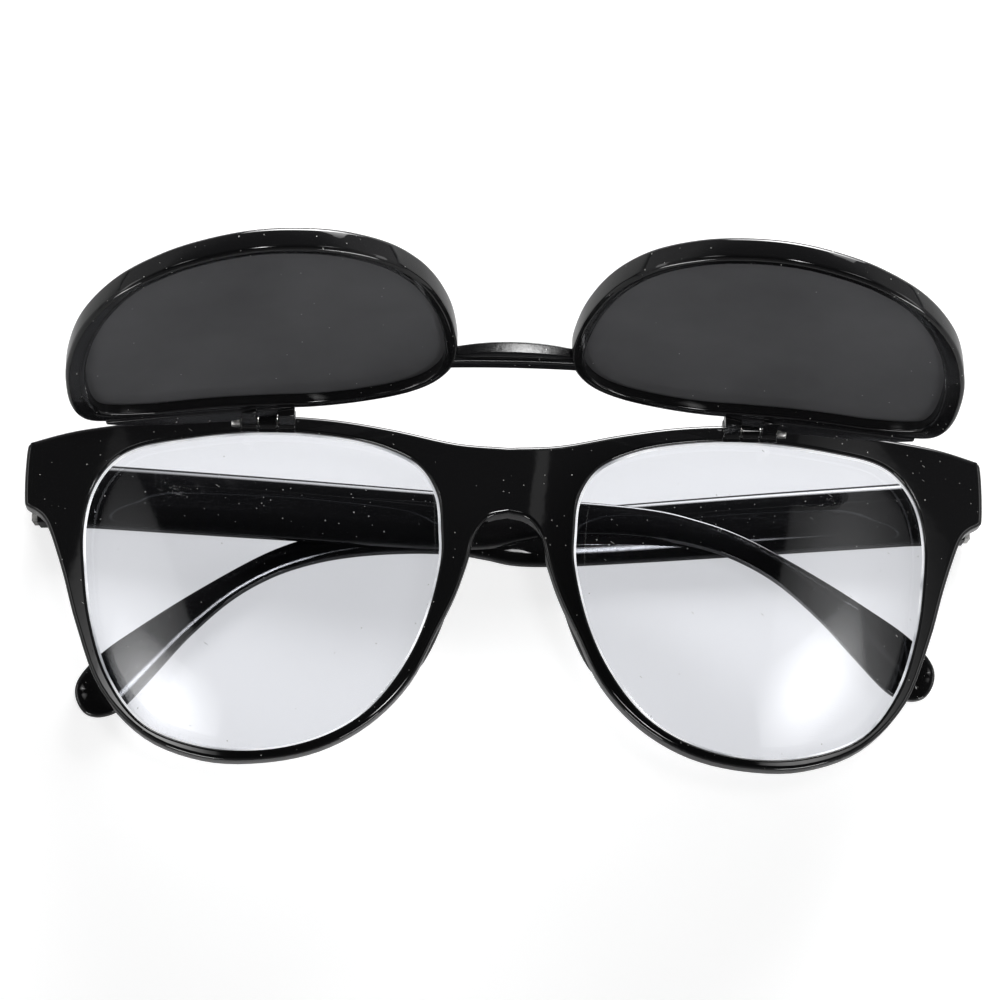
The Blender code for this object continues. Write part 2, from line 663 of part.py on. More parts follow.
def make_temple_leaf(side, word, axis, collection, cutters, steel):
    """The metal leaf of the temple: a core moulded into the plastic, one knuckle, and a plate over the end."""
    low = TEMPLE_CORE_LEVEL
    high = TEMPLE_CORE_LEVEL + LEAF_THICKNESS
    neck = NECK_HALF_HEIGHT
    core_start = -BARREL_NOTCH_RADIUS - 0.3
    reach = HINGE_BARREL_RADIUS - BARREL_LAP
    core = box((-TEMPLE_CORE_LENGTH, TEMPLE_CORE_LOW, low), (core_start, TEMPLE_CORE_HIGH, high))
    leaf = temple_part(f"temple_hinge_leaf_{word}", core, side, axis, collection, steel)
    shapes = (
        rod(HINGE_BARREL_RADIUS, (0, -HINGE_KNUCKLE_HALF, 0), (0, HINGE_KNUCKLE_HALF, 0)),
        box((core_start - NECK_LAP, -neck, low + 0.05), (-reach, neck, high - 0.05)),
        box((reach, -neck, BUTT_NECK_LOW), (TEMPLE_BUTT - LEAF_THICKNESS / 2, neck, BUTT_NECK_HIGH)),
        box((TEMPLE_BUTT - LEAF_THICKNESS, *BUTT_PLATE_LOW), (TEMPLE_BUTT, *BUTT_PLATE_HIGH)),
    )
    for i, bm in enumerate(shapes):
        join(leaf, temple_part(f"temple_leaf_{i}_{word}", bm, side, axis, cutters, None))
    bore = rod(HINGE_SCREW_RADIUS + PIN_CLEARANCE, (0, -5, 0), (0, 5, 0))
    cut(leaf, temple_part(f"temple_leaf_bore_{word}", bore, side, axis, cutters, None))
    return leaf


def make_lug_rivets(side, word, collection, cutters, steel):
    """Round-headed rivets that hold the lug's leaf. The heads stand on the leaf."""
    place = hinge_place(side)
    seat = LUG_BACK - 0.03
    x = LUG_RIVET_X
    for level, height in zip(LUG_RIVET_LEVELS, ("lower", "upper")):
        head = rod(RIVET_HEAD_RADIUS, (x, level, seat), (x, level, seat - RIVET_HEAD_HEIGHT), segments=16)
        shank = rod(RIVET_RADIUS, (x, level, seat - 0.1), (x, level, seat + RIVET_DEPTH), segments=16)
        obj = hinge_part(f"lug_rivet_{height}_{word}", head, side, collection, steel, place)
        join(obj, hinge_part(f"lug_rivet_shank_{height}_{word}", shank, side, cutters, None, place))


def make_hinge_screw(side, word, collection, cutters, steel):
    place = hinge_place(side)
    top = HINGE_BARREL_HALF + PIN_CLEARANCE
    shank = rod(HINGE_SCREW_RADIUS, (0, -HINGE_BARREL_HALF, 0), (0, top + 0.1, 0))
    screw = hinge_part(f"hinge_screw_{word}", shank, side, collection, steel, place)
    head = rod(HINGE_SCREW_HEAD_RADIUS, (0, top, 0), (0, top + HINGE_SCREW_HEAD_HEIGHT, 0))
    slot = box((-2, top + HINGE_SCREW_HEAD_HEIGHT - 0.35, -0.18), (2, top + HINGE_SCREW_HEAD_HEIGHT + 1, 0.18))
    join(screw, hinge_part(f"hinge_screw_head_{word}", head, side, cutters, None, place))
    cut(screw, hinge_part(f"hinge_screw_slot_{word}", slot, side, cutters, None, place))
    return screw


# Temples

def temple_level(x, z):
    """Where a point of the full thickness comes to lie: the inner face falls away toward the tip."""
    distance = -x
    if distance < 0:
        return z * (1 + TEMPLE_BUTT_DRAFT * distance / TEMPLE_THICKNESS)
    share = min(distance / TEMPLE_TAPER_LENGTH, 1.0)
    thickness = TEMPLE_THICKNESS + (TEMPLE_END_THICKNESS - TEMPLE_THICKNESS) * share
    return -TEMPLE_THICKNESS + (z + TEMPLE_THICKNESS) * thickness / TEMPLE_THICKNESS


def make_temple(side, word, axis, collection, cutters, plastic):
    outline = [(-x, y) for x, y in temple_outline()]
    bar = prism(outline, -TEMPLE_THICKNESS, 0)
    round_edges(bar, TEMPLE_EDGE_ROUND, 2, lambda co: co.x < 0.1)
    for vert in bar.verts:
        vert.co.z = temple_level(vert.co.x, vert.co.z)
    temple = temple_part(f"temple_{word}", bar, side, axis, collection, plastic)
    gap = LEAF_CLEARANCE
    neck = NECK_HALF_HEIGHT + gap
    core_low = TEMPLE_CORE_LEVEL - gap
    core_high = TEMPLE_CORE_LEVEL + LEAF_THICKNESS + gap
    cuts = (
        rod(BARREL_NOTCH_RADIUS, (0, -7, 0), (0, 7, 0)),
        box((-TEMPLE_CORE_LENGTH - gap, TEMPLE_CORE_LOW - gap, core_low), (-0.5, TEMPLE_CORE_HIGH + gap, core_high)),
        box((0.5, -neck, BUTT_NECK_LOW - gap), (TEMPLE_BUTT, neck, 1)),
    )
    for i, bm in enumerate(cuts):
        cut(temple, temple_part(f"temple_cut_{i}_{word}", bm, side, axis, cutters, None))
    return temple


def new_axis(name, collection, location, rotation):
    axis = bpy.data.objects.new(name, None)
    axis.location = Vector(location) * MM
    axis.rotation_euler = [math.radians(angle) for angle in rotation]
    collection.objects.link(axis)
    return axis


def main():
    clear_scene()
    collection = new_collection("welding_glasses")
    cutters = new_collection("cutters")
    cutters.hide_render = True
    black = plastic_or_metal("black_plastic", (0.012, 0.012, 0.013), 0.0, 0.12)
    clear = plastic_or_metal("clear_lens", (0.93, 0.95, 0.97), 0.0, 0.03, 0.2)
    dark = plastic_or_metal("dark_lens", (0.03, 0.033, 0.035), 0.0, 0.05, 0.9)
    steel = plastic_or_metal("hinge_steel", (0.62, 0.62, 0.6), 1.0, 0.28)

    shade_axis = new_axis(
        "shade_axis", collection, (0, SHADE_HINGE_Y - REST_FACE_Y, SHADE_HINGE_Z + BRIDGE_HEIGHT),
        (-SHADE_RAISED_DEG, 0, 0),
    )
    make_front(collection, cutters, black)
    make_shade(shade_axis, collection, cutters, black)
    for side, word, lift in ((1, "left", 0.0), (-1, "right", -RIGHT_TEMPLE_LIFT_DEG)):
        temple_axis = new_axis(f"{word}_temple_axis", collection, hinge_place(side), (0, lift, HINGE_LEAN_DEG))
        make_clear_lens(side, word, collection, clear)
        make_dark_lens(side, word, shade_axis, collection, dark)
        make_shade_pin(side, word, shade_axis, collection, cutters, steel)
        make_temple(side, word, temple_axis, collection, cutters, black)
        make_temple_leaf(side, word, temple_axis, collection, cutters, steel)
        make_lug_leaf(side, word, collection, cutters, steel)
        make_hinge_screw(side, word, collection, cutters, steel)
        make_lug_rivets(side, word, collection, cutters, steel)


main()
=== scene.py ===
"""The dressed flip-up welding glasses: fine plastic shells, curved lenses and steel pins.

Shapes are drawn as seen from the front, in millimetres: x across, y up from the lens centres, z forward
from the bridge. The pair lies on its back on a white table.
"""
import math

import bmesh
import bpy
from mathutils import Matrix, Quaternion, Vector


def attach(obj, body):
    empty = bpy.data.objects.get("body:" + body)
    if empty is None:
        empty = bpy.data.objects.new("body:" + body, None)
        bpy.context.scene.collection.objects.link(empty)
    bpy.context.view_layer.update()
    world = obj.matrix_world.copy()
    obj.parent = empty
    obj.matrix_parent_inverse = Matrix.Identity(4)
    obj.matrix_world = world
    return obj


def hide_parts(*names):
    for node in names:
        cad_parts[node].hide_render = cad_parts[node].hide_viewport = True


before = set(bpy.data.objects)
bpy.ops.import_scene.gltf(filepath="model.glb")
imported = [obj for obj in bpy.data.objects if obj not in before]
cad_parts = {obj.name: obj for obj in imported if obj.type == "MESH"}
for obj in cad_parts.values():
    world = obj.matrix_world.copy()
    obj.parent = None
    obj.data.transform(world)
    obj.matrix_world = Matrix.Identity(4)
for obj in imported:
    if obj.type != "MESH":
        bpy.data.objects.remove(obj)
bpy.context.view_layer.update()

MM = 0.001

# Front
WRAP_RADIUS = 250.0
FRONT_THICKNESS = 4.0
FRONT_EDGE_ROUND = 0.5
FRONT_OPENING_ROUND = 0.45
FRONT_CROWN = 1.3
FRONT_BACK_FLARE = 0.7
FRONT_SLICE = 1.5
LUG_FRONT_Z = -11.9
LUG_BACK = 4.7
LUG_EDGE_ROUND = 0.5
NOSE_PAD_RADII = (1.5, 7.5, 1.75)
NOSE_PAD_PLACE = (11.1, -3.6, -5.4)
NOSE_PAD_LEAN = 0.36

# Clear lenses
CLEAR_LENS_CENTRE = (37.6, 0.8)
CLEAR_LENS_THICKNESS = 2.0
CLEAR_LENS_SETBACK = 1.1
CLEAR_LENS_LAP = 0.55
CLEAR_LENS_BULGE = 0.15
GROOVE_CLEARANCE = 0.12
LENS_CHAMFER = 0.12
LENS_BEVEL_WIDTH = 0.95
LENS_BEVEL_DEPTH = 0.3
# Sizes of the strip that paints the highlight along the edge of a clear lens
LENS_EDGE_WIDTH = 0.36
LENS_EDGE_LAP = 0.02
LENS_EDGE_SINK = 0.02
LENS_EDGE_RISE = 0.05
LENS_EDGE_FALL = 0.06

# Shade
SHADE_STANDOFF = 3.1
SHADE_DEPTH = 3.6
SHADE_RIM_WIDTH = 1.8
SHADE_RIM_SPREAD = 1.1
SHADE_RIM_SPREAD_FROM = 54.0
SHADE_RIM_SPREAD_TO = 63.0
SHADE_EDGE_ROUND = 0.7
SHADE_OPENING_ROUND = 0.35
SHADE_RAISED_DEG = 102.0
RIM_LINE_DEPTH = 0.12
RIM_LINE_SETBACK = 0.56
RIM_LINE_SLOPE = 0.08
RIM_LINE_FLOOR = 0.16
DARK_LENS_CENTRE = (37.6, -1.5)
DARK_LENS_THICKNESS = 1.4
DARK_LENS_RECESS = 1.7
DARK_LENS_LAP = 0.6
DARK_LENS_BULGE = 0.2
SHADE_BAR_HEIGHT = 3.2
SHADE_BAR_Y = 10.9
SHADE_BAR_HALF_SPAN = 9.9
SHADE_BAR_FRONT_Z = 6.0
SHADE_BAR_STEP_Z = 4.05
SHADE_BAR_BACK_Z = 3.15
SHADE_BAR_STEP = 1.1
SHADE_BAR_SINK = 0.75
SHADE_BAR_LEAN = 0.42
SHADE_BAR_ARCH = 0.9
SHADE_BAR_THINNING = 0.32
SHADE_BAR_OVERLAP = 0.4
SHADE_BAR_ROUND = 0.4
SHADE_BAR_SLICE = 0.5
SHADE_WEB_DEPTH = 2.3
SHADE_WEB_SINK = 0.3
SHADE_WEB_ROUND = 0.4

# Shade hinges
SHADE_HINGE_Y = 26.2
SHADE_HINGE_Z = 0.5
SHADE_BARREL_RADIUS = 1.7
SHADE_PIN_RADIUS = 0.6
SHADE_PIN_INSET = 0.6
SHADE_PIN_HEAD_RADIUS = 0.95
SHADE_PIN_HEAD_LENGTH = 1.4
SHADE_PIN_HEAD_GAP = 0.05
SHADE_BLOCK_INNER_X = 32.7
SHADE_BLOCK_OUTER_X = 41.0
SHADE_BLOCK_INNER_FOOT = 4.2
SHADE_BLOCK_OUTER_FOOT = 4.9
SHADE_BLOCK_TOP = 0.35
SHADE_BLOCK_BACK = 1.2
KNUCKLE_INNER_X = 35.5
KNUCKLE_OUTER_X = 38.3
KNUCKLE_SIDE_GAP = 0.12
KNUCKLE_ARM_LOW_YZ = (25.9, -3.5)
KNUCKLE_FOOT_LOW_YZ = (25.7, -3.4)
KNUCKLE_FOOT_HIGH_YZ = (27.6, -2.0)
KNUCKLE_FOOT_SPREAD = 0.6
KNUCKLE_FOOT_ROUND = 0.3
HINGE_ARM_INSET = 0.1
HINGE_EDGE_ROUND = 0.15

# Temple hinges and temples
HINGE_X = 70.2
HINGE_Y = 20.3
HINGE_Z = -22.6
HINGE_LEAN_DEG = 0.6
LEAF_THICKNESS = 0.8
LEAF_CLEARANCE = 0.08
TEMPLE_THICKNESS = 4.4
TEMPLE_END_THICKNESS = 2.8
TEMPLE_TAPER_LENGTH = 100.0
TEMPLE_DROP_DEG = 4.55
TEMPLE_EDGE_ROUND = 1.4
TEMPLE_CROWN = 2.8
TEMPLE_ROUND_SHARE = 0.9
TEMPLE_BUTT = 4.3
TEMPLE_BUTT_DRAFT = 0.105
BUTT_ROUND_SHARE = 0.12
BUTT_ROUND_END = 0.6
BUTT_ROUND_RUN = 1.5
RIGHT_TEMPLE_LIFT_DEG = 4.7
BARREL_NOTCH_RADIUS = 2.0
BARREL_NOTCH_REACH = 7.0
NECK_HALF_HEIGHT = 1.1
NECK_NOTCH_X = 0.5
NECK_NOTCH_DEPTH = 1.3

# Mesh detail, where the facings are cosines between two directions
FACING_AWAY = -0.6
FACING_ALIKE = 0.85
LEVEL_TOLERANCE = 0.0001
SLICE_SHIFT = 0.013
SHARP_EDGE_DEG = 35
FACE_NORMAL_WEIGHT = 60

# Place on the table
BRIDGE_HEIGHT = TEMPLE_THICKNESS - HINGE_Z
REST_FACE_Y = 14.6

# Camera
CAMERA_TILT_DEG = 14.0
CAMERA_TURN_DEG = 2.1
CAMERA_ROLL_DEG = 0.68
CAMERA_DISTANCE = 560.0
CAMERA_AIM = Vector((-1.29, 14.69 - REST_FACE_Y, BRIDGE_HEIGHT))
PIXELS_PER_MM = 6.56
SENSOR = 36.0
PICTURE = 1000

# Table and light, in metres, and stops of height and grey for the sky
TABLE_HALF_SIZE = 3.0
TABLE_DROP = 0.00002
TABLE_GLOW = 0.73
SKY_STOPS = ((0.0, 1.0), (0.45, 1.0), (0.68, 0.15), (0.8, 0.025), (1.0, 0.02))
SKY_LIGHT = 0.12
SKY_SIDE_LIGHT = 0.3
LAMP_FADE = 2.6

# Scratches: cells per metre along, across and into the face, and a radius in cells
SCRATCH_CELLS = (130, 1500, 450)
SCRATCH_RADIUS = 0.07

# Outlines read from the photo: half of the front, and the parts of the wearer's left side
NOSE_AND_RIM = [
    (0, 12.7), (3.0, 11.9), (5.0, 9.3), (6.1, 5.2), (7.9, 0.0), (10.4, -5.3), (14.5, -13.4),
    (20.5, -19.7), (28.0, -23.8), (36.6, -25.5), (45.6, -25.1), (54.6, -21.5), (61.6, -14.1),
    (65.6, -4.2), (68.0, 4.0), (70.1, 10.2), (71.3, 12.8),
]
LUG_CORNERS = [
    (72.6, 14.1), (74.1, 15.0), (74.5, 15.9), (74.6, 20.0), (74.4, 24.0), (74.0, 24.9), (73.2, 25.3),
]
BROW = [
    (66.4, 26.7), (56.0, 27.6), (45.0, 27.95), (36.0, 28.0), (26.5, 27.2), (17.3, 25.6), (8.0, 23.6),
    (0, 23.05),
]
LUG_OUTLINE = [
    (65.5, 15.0), (66.2, 14.3), (71.6, 14.3), (72.6, 14.7), (73.8, 15.6), (74.1, 16.4), (74.1, 23.6),
    (73.8, 24.5), (72.9, 24.9), (66.3, 25.5), (65.5, 24.9),
]
LENS_OPENING = [
    (10.3, 4.4), (10.2, 10.0), (10.9, 15.6), (13.7, 20.1), (18.7, 22.8), (24.8, 24.4), (33.0, 25.4),
    (41.5, 25.5), (50.6, 24.7), (57.2, 23.6), (61.2, 21.2), (63.9, 17.0), (65.0, 11.6), (64.8, 5.5),
    (63.5, -3.4), (60.4, -12.5), (54.7, -19.8), (45.8, -23.4), (36.5, -24.0), (28.1, -22.2),
    (21.3, -18.3), (16.2, -12.2), (12.5, -4.6),
]
SHADE_OUTLINE = [
    (8.6, 8.9), (8.8, 3.9), (9.9, -3.1), (12.1, -10.1), (15.0, -15.6), (19.2, -20.3), (25.3, -24.0),
    (31.5, -25.9), (38.0, -26.6), (44.4, -25.8), (50.9, -23.6), (57.7, -18.9), (62.8, -11.3),
    (65.4, -2.1), (66.0, 5.9), (65.5, 12.5), (63.7, 16.8), (60.0, 18.8), (53.8, 19.9), (44.6, 21.0),
    (36.0, 22.3), (29.9, 23.1), (23.3, 22.7), (16.8, 20.9), (12.2, 17.8), (9.5, 13.5),
]
SHADE_WEB = [
    (33.0, 22.0), (33.0, 23.9), (41.3, 23.9), (42.8, 24.3), (51.0, 22.7), (58.6, 20.1), (60.8, 18.8),
    (60.9, 17.8), (58.8, 18.3), (51.0, 19.7), (42.6, 20.8), (37.0, 21.6),
]
TEMPLE_OUTLINE = [
    (0, 5.05), (31, 5.0), (59, 4.7), (81, 4.5), (93, 4.1), (100, 3.0), (108, 0.6), (118.7, -4.7),
    (127.2, -9.6), (133.2, -13.5), (136.6, -17.2), (137.1, -20.2), (135.5, -22.9), (132.7, -23.5),
    (129.4, -22.1), (124.5, -17.0), (119.6, -11.7), (113.2, -6.3), (106.7, -2.9), (100, -1.1), (93, -0.4),
    (85, -0.5), (78, -1.2), (73, -2.4), (68, -3.8), (61, -4.4), (49, -4.65), (31, -4.8), (0, -5.0),
]

SIDES = ((1, "left"), (-1, "right"))
FRONT_PLACE = Matrix.Translation((0, -REST_FACE_Y, BRIDGE_HEIGHT))
SHADE_PLACE = (
    Matrix.Translation((0, SHADE_HINGE_Y - REST_FACE_Y, SHADE_HINGE_Z + BRIDGE_HEIGHT))
    @ Matrix.Rotation(math.radians(-SHADE_RAISED_DEG), 4, "X")
    @ Matrix.Translation((0, -SHADE_HINGE_Y, -SHADE_HINGE_Z))
)


# Drawing outlines

def smooth(points, closed=False, steps=6):
    """A Catmull-Rom line through the points."""
    count = len(points)
    spans = count if closed else count - 1
    line = []
    for i in range(spans):
        p1 = Vector(points[i])
        p2 = Vector(points[(i + 1) % count])
        p0 = Vector(points[i - 1]) if closed or i > 0 else p1 * 2 - p2
        p3 = Vector(points[(i + 2) % count]) if closed or i + 2 < count else p2 * 2 - p1
        for step in range(steps):
            t = step / steps
            line.append(tuple(
                (p1 * 2 + (p2 - p0) * t + (p0 * 2 - p1 * 5 + p2 * 4 - p3) * t * t
                 + (p1 * 3 - p0 - p2 * 3 + p3) * t ** 3) / 2
            ))
    if not closed:
        line.append(tuple(points[-1]))
    return line


def mirrored(half):
    """The closed outline of a half that starts and ends on the middle line."""
    return half + [(-x, y) for x, y in reversed(half[1:-1])]


def on_side(outline, side):
    return [(x * side, y) for x, y in outline]


def signed_area(outline):
    total = 0.0
    for i, (x, y) in enumerate(outline):
        next_x, next_y = outline[(i + 1) % len(outline)]
        total += x * next_y - next_x * y
    return total / 2


def offset(outline, distances):
    """The outline with each point moved outward by its distance."""
    turn = 1 if signed_area(outline) > 0 else -1
    moved = []
    for i, point in enumerate(outline):
        along = (Vector(outline[(i + 1) % len(outline)]) - Vector(outline[i - 1])).normalized()
        moved.append((point[0] + turn * along.y * distances[i], point[1] - turn * along.x * distances[i]))
    return moved


def half_widths(outline):
    """Half the width of the outline at each point: half the way to the nearest point facing away from it."""
    points = [Vector(point) for point in outline]
    facing = [Vector(moved) - point for moved, point in zip(offset(outline, [1.0] * len(outline)), points)]
    halves = []
    for point, direction in zip(points, facing):
        across = [
            (other - point).length for other, back in zip(points, facing) if direction.dot(back) < FACING_AWAY
        ]
        halves.append(min(across) / 2)
    return halves


def widened(outline, distance):
    return offset(outline, [distance] * len(outline))


def front_outline():
    return mirrored(smooth(NOSE_AND_RIM + LUG_CORNERS + BROW, steps=5))


def lens_opening(side):
    return on_side(smooth(LENS_OPENING, closed=True, steps=7), side)


def shade_outline(side):
    return on_side(smooth(SHADE_OUTLINE, closed=True, steps=7), side)


def shade_opening(side):
    """The opening of a ring, whose rim is broader toward the temple."""
    outline = shade_outline(side)
    rims = []
    for x, y in outline:
        share = (abs(x) - SHADE_RIM_SPREAD_FROM) / (SHADE_RIM_SPREAD_TO - SHADE_RIM_SPREAD_FROM)
        rims.append(-SHADE_RIM_WIDTH - SHADE_RIM_SPREAD * min(1.0, max(0.0, share)))
    return offset(outline, rims)


def temple_outline():
    """The side of a temple: the hinge is at 0 and the tip at +x, and the butt leaves room for its leaf."""
    drop = math.tan(math.radians(TEMPLE_DROP_DEG))
    line = [(x, y - drop * x) for x, y in smooth(TEMPLE_OUTLINE, steps=6)]
    butt = -TEMPLE_BUTT + LEAF_THICKNESS + LEAF_CLEARANCE
    return line + [(butt, line[-1][1]), (butt, line[0][1])]


# Building meshes

def round_profile(top, bottom, radius, steps=5, crown=1.0):
    """The rounded edges of a plate: points of distance from the outline, level, and height above the level.

    A crown above 1 spreads the upper rounding further across the face.
    """
    down = []
    for step in range(steps + 1):
        angle = math.radians(90 * step / steps)
        down.append((-radius * (1 - math.sin(angle)), radius * (1 - math.cos(angle))))
    upper = [(distance * crown, top, -depth) for distance, depth in down]
    lower = [(distance, bottom, depth) for distance, depth in reversed(down)]
    return upper, lower


def join_loops(bm, loops):
    """Faces from each loop of points to the next."""
    for upper, lower in zip(loops, loops[1:]):
        for i in range(len(upper)):
            bm.faces.new((upper[i - 1], upper[i], lower[i], lower[i - 1]))


def add_band(bm, outline, profile, outward=1, scales=None):
    """Rings of faces that follow the outline through the profile. Returns the first and the last loop."""
    scales = scales or [1.0] * len(outline)
    loops = []
    for distance, level, depth in profile:
        moved = offset(outline, [outward * distance * scale for scale in scales])
        loops.append([bm.verts.new((x, y, level + depth * scale)) for (x, y), scale in zip(moved, scales)])
    join_loops(bm, loops)
    return loops[0], loops[-1]


def add_cap(bm, loops):
    """A flat face between closed loops: the first is the outer edge, and the others are holes in it."""
    edges = [bm.edges.get((loop[i - 1], loop[i])) for loop in loops for i in range(len(loop))]
    bmesh.ops.triangle_fill(bm, use_beauty=True, edges=edges)


def rim_line(bottom, depth):
    """A fine groove round an opening, in the bottom face, as points of a profile."""
    inner = RIM_LINE_SETBACK + RIM_LINE_SLOPE
    outer = inner + RIM_LINE_FLOOR
    return [
        (-RIM_LINE_SETBACK, bottom, 0), (-inner, bottom, depth), (-outer, bottom, depth),
        (-outer - RIM_LINE_SLOPE, bottom, 0),
    ]


def plate(
    outline, openings, top, bottom, edge_round, opening_round=0.0, groove=None, scales=None, crown=1.0,
    flare=0.0, line_depth=0.0,
):
    """A plate with rounded edges and rounded openings, each with a groove for its lens.

    A flare widens the openings toward the bottom face. A line depth adds a fine groove round each opening
    in that face.
    """
    bm = bmesh.new()
    upper, lower = round_profile(top, bottom, edge_round, steps=5 if crown == 1 else 9, crown=crown)
    first, last = add_band(bm, outline, upper + lower, scales=scales)
    tops, bottoms = [first], [last]
    for opening in openings:
        upper, lower = round_profile(top, bottom, opening_round, steps=4)
        if groove:
            lap, high, low = groove
            upper += [(0, high, 0), (-lap, high, 0), (-lap, low, 0), (-flare / 2, low, 0)]
            lower = [(distance - flare, level, height) for distance, level, height in lower]
        if line_depth:
            lower += rim_line(bottom, line_depth)
        first, last = add_band(bm, opening, upper + lower, outward=-1)
        tops.append(first)
        bottoms.append(last)
    add_cap(bm, tops)
    add_cap(bm, bottoms)
    bmesh.ops.recalc_face_normals(bm, faces=bm.faces)
    return bm


def slice_across(bm, reach, step):
    """Cuts the shape at regular x, so that it can bend. The shift keeps the cuts off its corners."""
    count = int(reach // step)
    for i in range(-count, count + 1):
        geometry = bm.verts[:] + bm.edges[:] + bm.faces[:]
        middle = (i * step + SLICE_SHIFT, 0, 0)
        bmesh.ops.bisect_plane(bm, geom=geometry, dist=1e-6, plane_co=middle, plane_no=(1, 0, 0))


def wrap(x):
    """How far the wrap of the front sets a point back."""
    return x * x / (2 * WRAP_RADIUS)


def bend(bm, levels=()):
    """Bends the shape, and notes the true normal of each point that lies on a face at one of the levels."""
    if levels:
        normals = bm.verts.layers.float_vector.new("face_normal")
    for vert in bm.verts:
        for level in levels:
            if abs(vert.co.z - level) < LEVEL_TOLERANCE:
                up = 1 if level == max(levels) else -1
                vert[normals] = Vector((vert.co.x / WRAP_RADIUS, 0, 1)).normalized() * up
        vert.co.z -= wrap(vert.co.x)


def set_face_normals(mesh, place):
    """Gives the noted points their true normals, where the surface there already faces about that way."""
    noted = mesh.attributes["face_normal"]
    turn = place.to_3x3()
    normals = [Vector(corner.vector) for corner in mesh.corner_normals]
    for i, loop in enumerate(mesh.loops):
        true_normal = Vector(noted.data[loop.vertex_index].vector)
        if not true_normal.length:
            continue
        true_normal = (turn @ true_normal).normalized()
        if normals[i].dot(true_normal) > FACING_ALIKE:
            normals[i] = true_normal
    mesh.attributes.remove(mesh.attributes["face_normal"])
    mesh.normals_split_custom_set(normals)


def box(low, high, rounding, segments=3):
    bm = bmesh.new()
    bmesh.ops.create_cube(bm, size=1.0)
    low, high = Vector(low), Vector(high)
    bmesh.ops.scale(bm, vec=high - low, verts=bm.verts)
    bmesh.ops.translate(bm, vec=(low + high) / 2, verts=bm.verts)
    if rounding:
        bmesh.ops.bevel(bm, geom=bm.edges[:], offset=rounding, segments=segments, profile=0.5, affect="EDGES")
    return bm


def rod(radius, start, end, rounding=0.0, segments=48):
    """A cylinder between two points, with its rims rounded."""
    bm = bmesh.new()
    start, end = Vector(start), Vector(end)
    length = (end - start).length
    bmesh.ops.create_cone(bm, cap_ends=True, segments=segments, radius1=radius, radius2=radius, depth=length)
    if rounding:
        rims = [e for e in bm.edges if e.calc_face_angle(0) > math.radians(60)]
        bmesh.ops.bevel(bm, geom=rims, offset=rounding, segments=3, profile=0.5, affect="EDGES")
    turn = Vector((0, 0, 1)).rotation_difference(end - start).to_matrix()
    bmesh.ops.rotate(bm, cent=(0, 0, 0), matrix=turn, verts=bm.verts)
    bmesh.ops.translate(bm, vec=(start + end) / 2, verts=bm.verts)
    return bm


def merged(shapes):
    """The shapes as one, without joining their faces."""
    whole = bmesh.new()
    for bm in shapes:
        mesh = bpy.data.meshes.new("shape")
        bm.to_mesh(mesh)
        bm.free()
        whole.from_mesh(mesh)
        bpy.data.meshes.remove(mesh)
    return whole


def boolean(bm, others, operation):
    """The shape with the others cut away or joined on."""
    objects = []
    for shape in [bm] + others:
        mesh = bpy.data.meshes.new("shape")
        shape.to_mesh(mesh)
        shape.free()
        obj = bpy.data.objects.new("shape", mesh)
        bpy.context.scene.collection.objects.link(obj)
        objects.append(obj)
    for other in objects[1:]:
        modifier = objects[0].modifiers.new("join", "BOOLEAN")
        modifier.operation = operation
        modifier.solver = "EXACT"
        modifier.object = other
    bpy.context.view_layer.update()
    done = bmesh.new()
    evaluated = objects[0].evaluated_get(bpy.context.evaluated_depsgraph_get())
    done.from_mesh(evaluated.to_mesh())
    for obj in objects:
        mesh = obj.data
        bpy.data.objects.remove(obj)
        bpy.data.meshes.remove(mesh)
    return done


def piece(name, bm, place, material, slot, body, *nodes):
    """Puts a millimetre shape in place as a piece that rides on a body and stands for the nodes."""
    bmesh.ops.recalc_face_normals(bm, faces=bm.faces)
    bm.transform(Matrix.Scale(MM, 4) @ place)
    if place.determinant() < 0:
        bmesh.ops.reverse_faces(bm, faces=bm.faces)
    mesh = bpy.data.meshes.new(name)
    bm.to_mesh(mesh)
    bm.free()
    mesh.shade_smooth()
    mesh.set_sharp_from_angle(angle=math.radians(SHARP_EDGE_DEG))
    mesh.materials.append(material)
    obj = bpy.data.objects.new(name, mesh)
    bpy.context.scene.collection.objects.link(obj)
    if "face_normal" in mesh.attributes:
        set_face_normals(mesh, place)
    else:
        normals = obj.modifiers.new("normals", "WEIGHTED_NORMAL")
        normals.keep_sharp = True
        normals.weight = FACE_NORMAL_WEIGHT
    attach(obj, body)
    if nodes:
        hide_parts(*nodes)


# Materials

def new_material(name):
    material = bpy.data.materials.new(name)
    material.use_nodes = True
    tree = material.node_tree
    return material, tree, tree.nodes["Principled BSDF"]


def feed(tree, made, inputs):
    """Sets inputs of a node, given by name or number, to a value or to the output that feeds them."""
    for key, value in inputs.items():
        if isinstance(value, bpy.types.NodeSocket):
            tree.links.new(value, made.inputs[key])
        else:
            made.inputs[key].default_value = value


def node(tree, kind, inputs=None, **settings):
    made = tree.nodes.new(kind)
    for key, value in settings.items():
        setattr(made, key, value)
    feed(tree, made, inputs or {})
    return made


def math_node(tree, operation, *values):
    return node(tree, "ShaderNodeMath", dict(enumerate(values)), operation=operation).outputs[0]


def object_place(tree):
    return node(tree, "ShaderNodeTexCoord").outputs["Object"]


def noise(tree, scale, detail=2):
    """Soft patches. The scale is in patches per metre."""
    inputs = {"Vector": object_place(tree), "Scale": scale, "Detail": detail}
    return node(tree, "ShaderNodeTexNoise", inputs).outputs[0]


def ranged(tree, value, low, high, start=0.0, end=1.0):
    """A value that runs from low to high while the given one runs from start to end."""
    inputs = {"Value": value, "From Min": start, "From Max": end, "To Min": low, "To Max": high}
    return node(tree, "ShaderNodeMapRange", inputs).outputs[0]


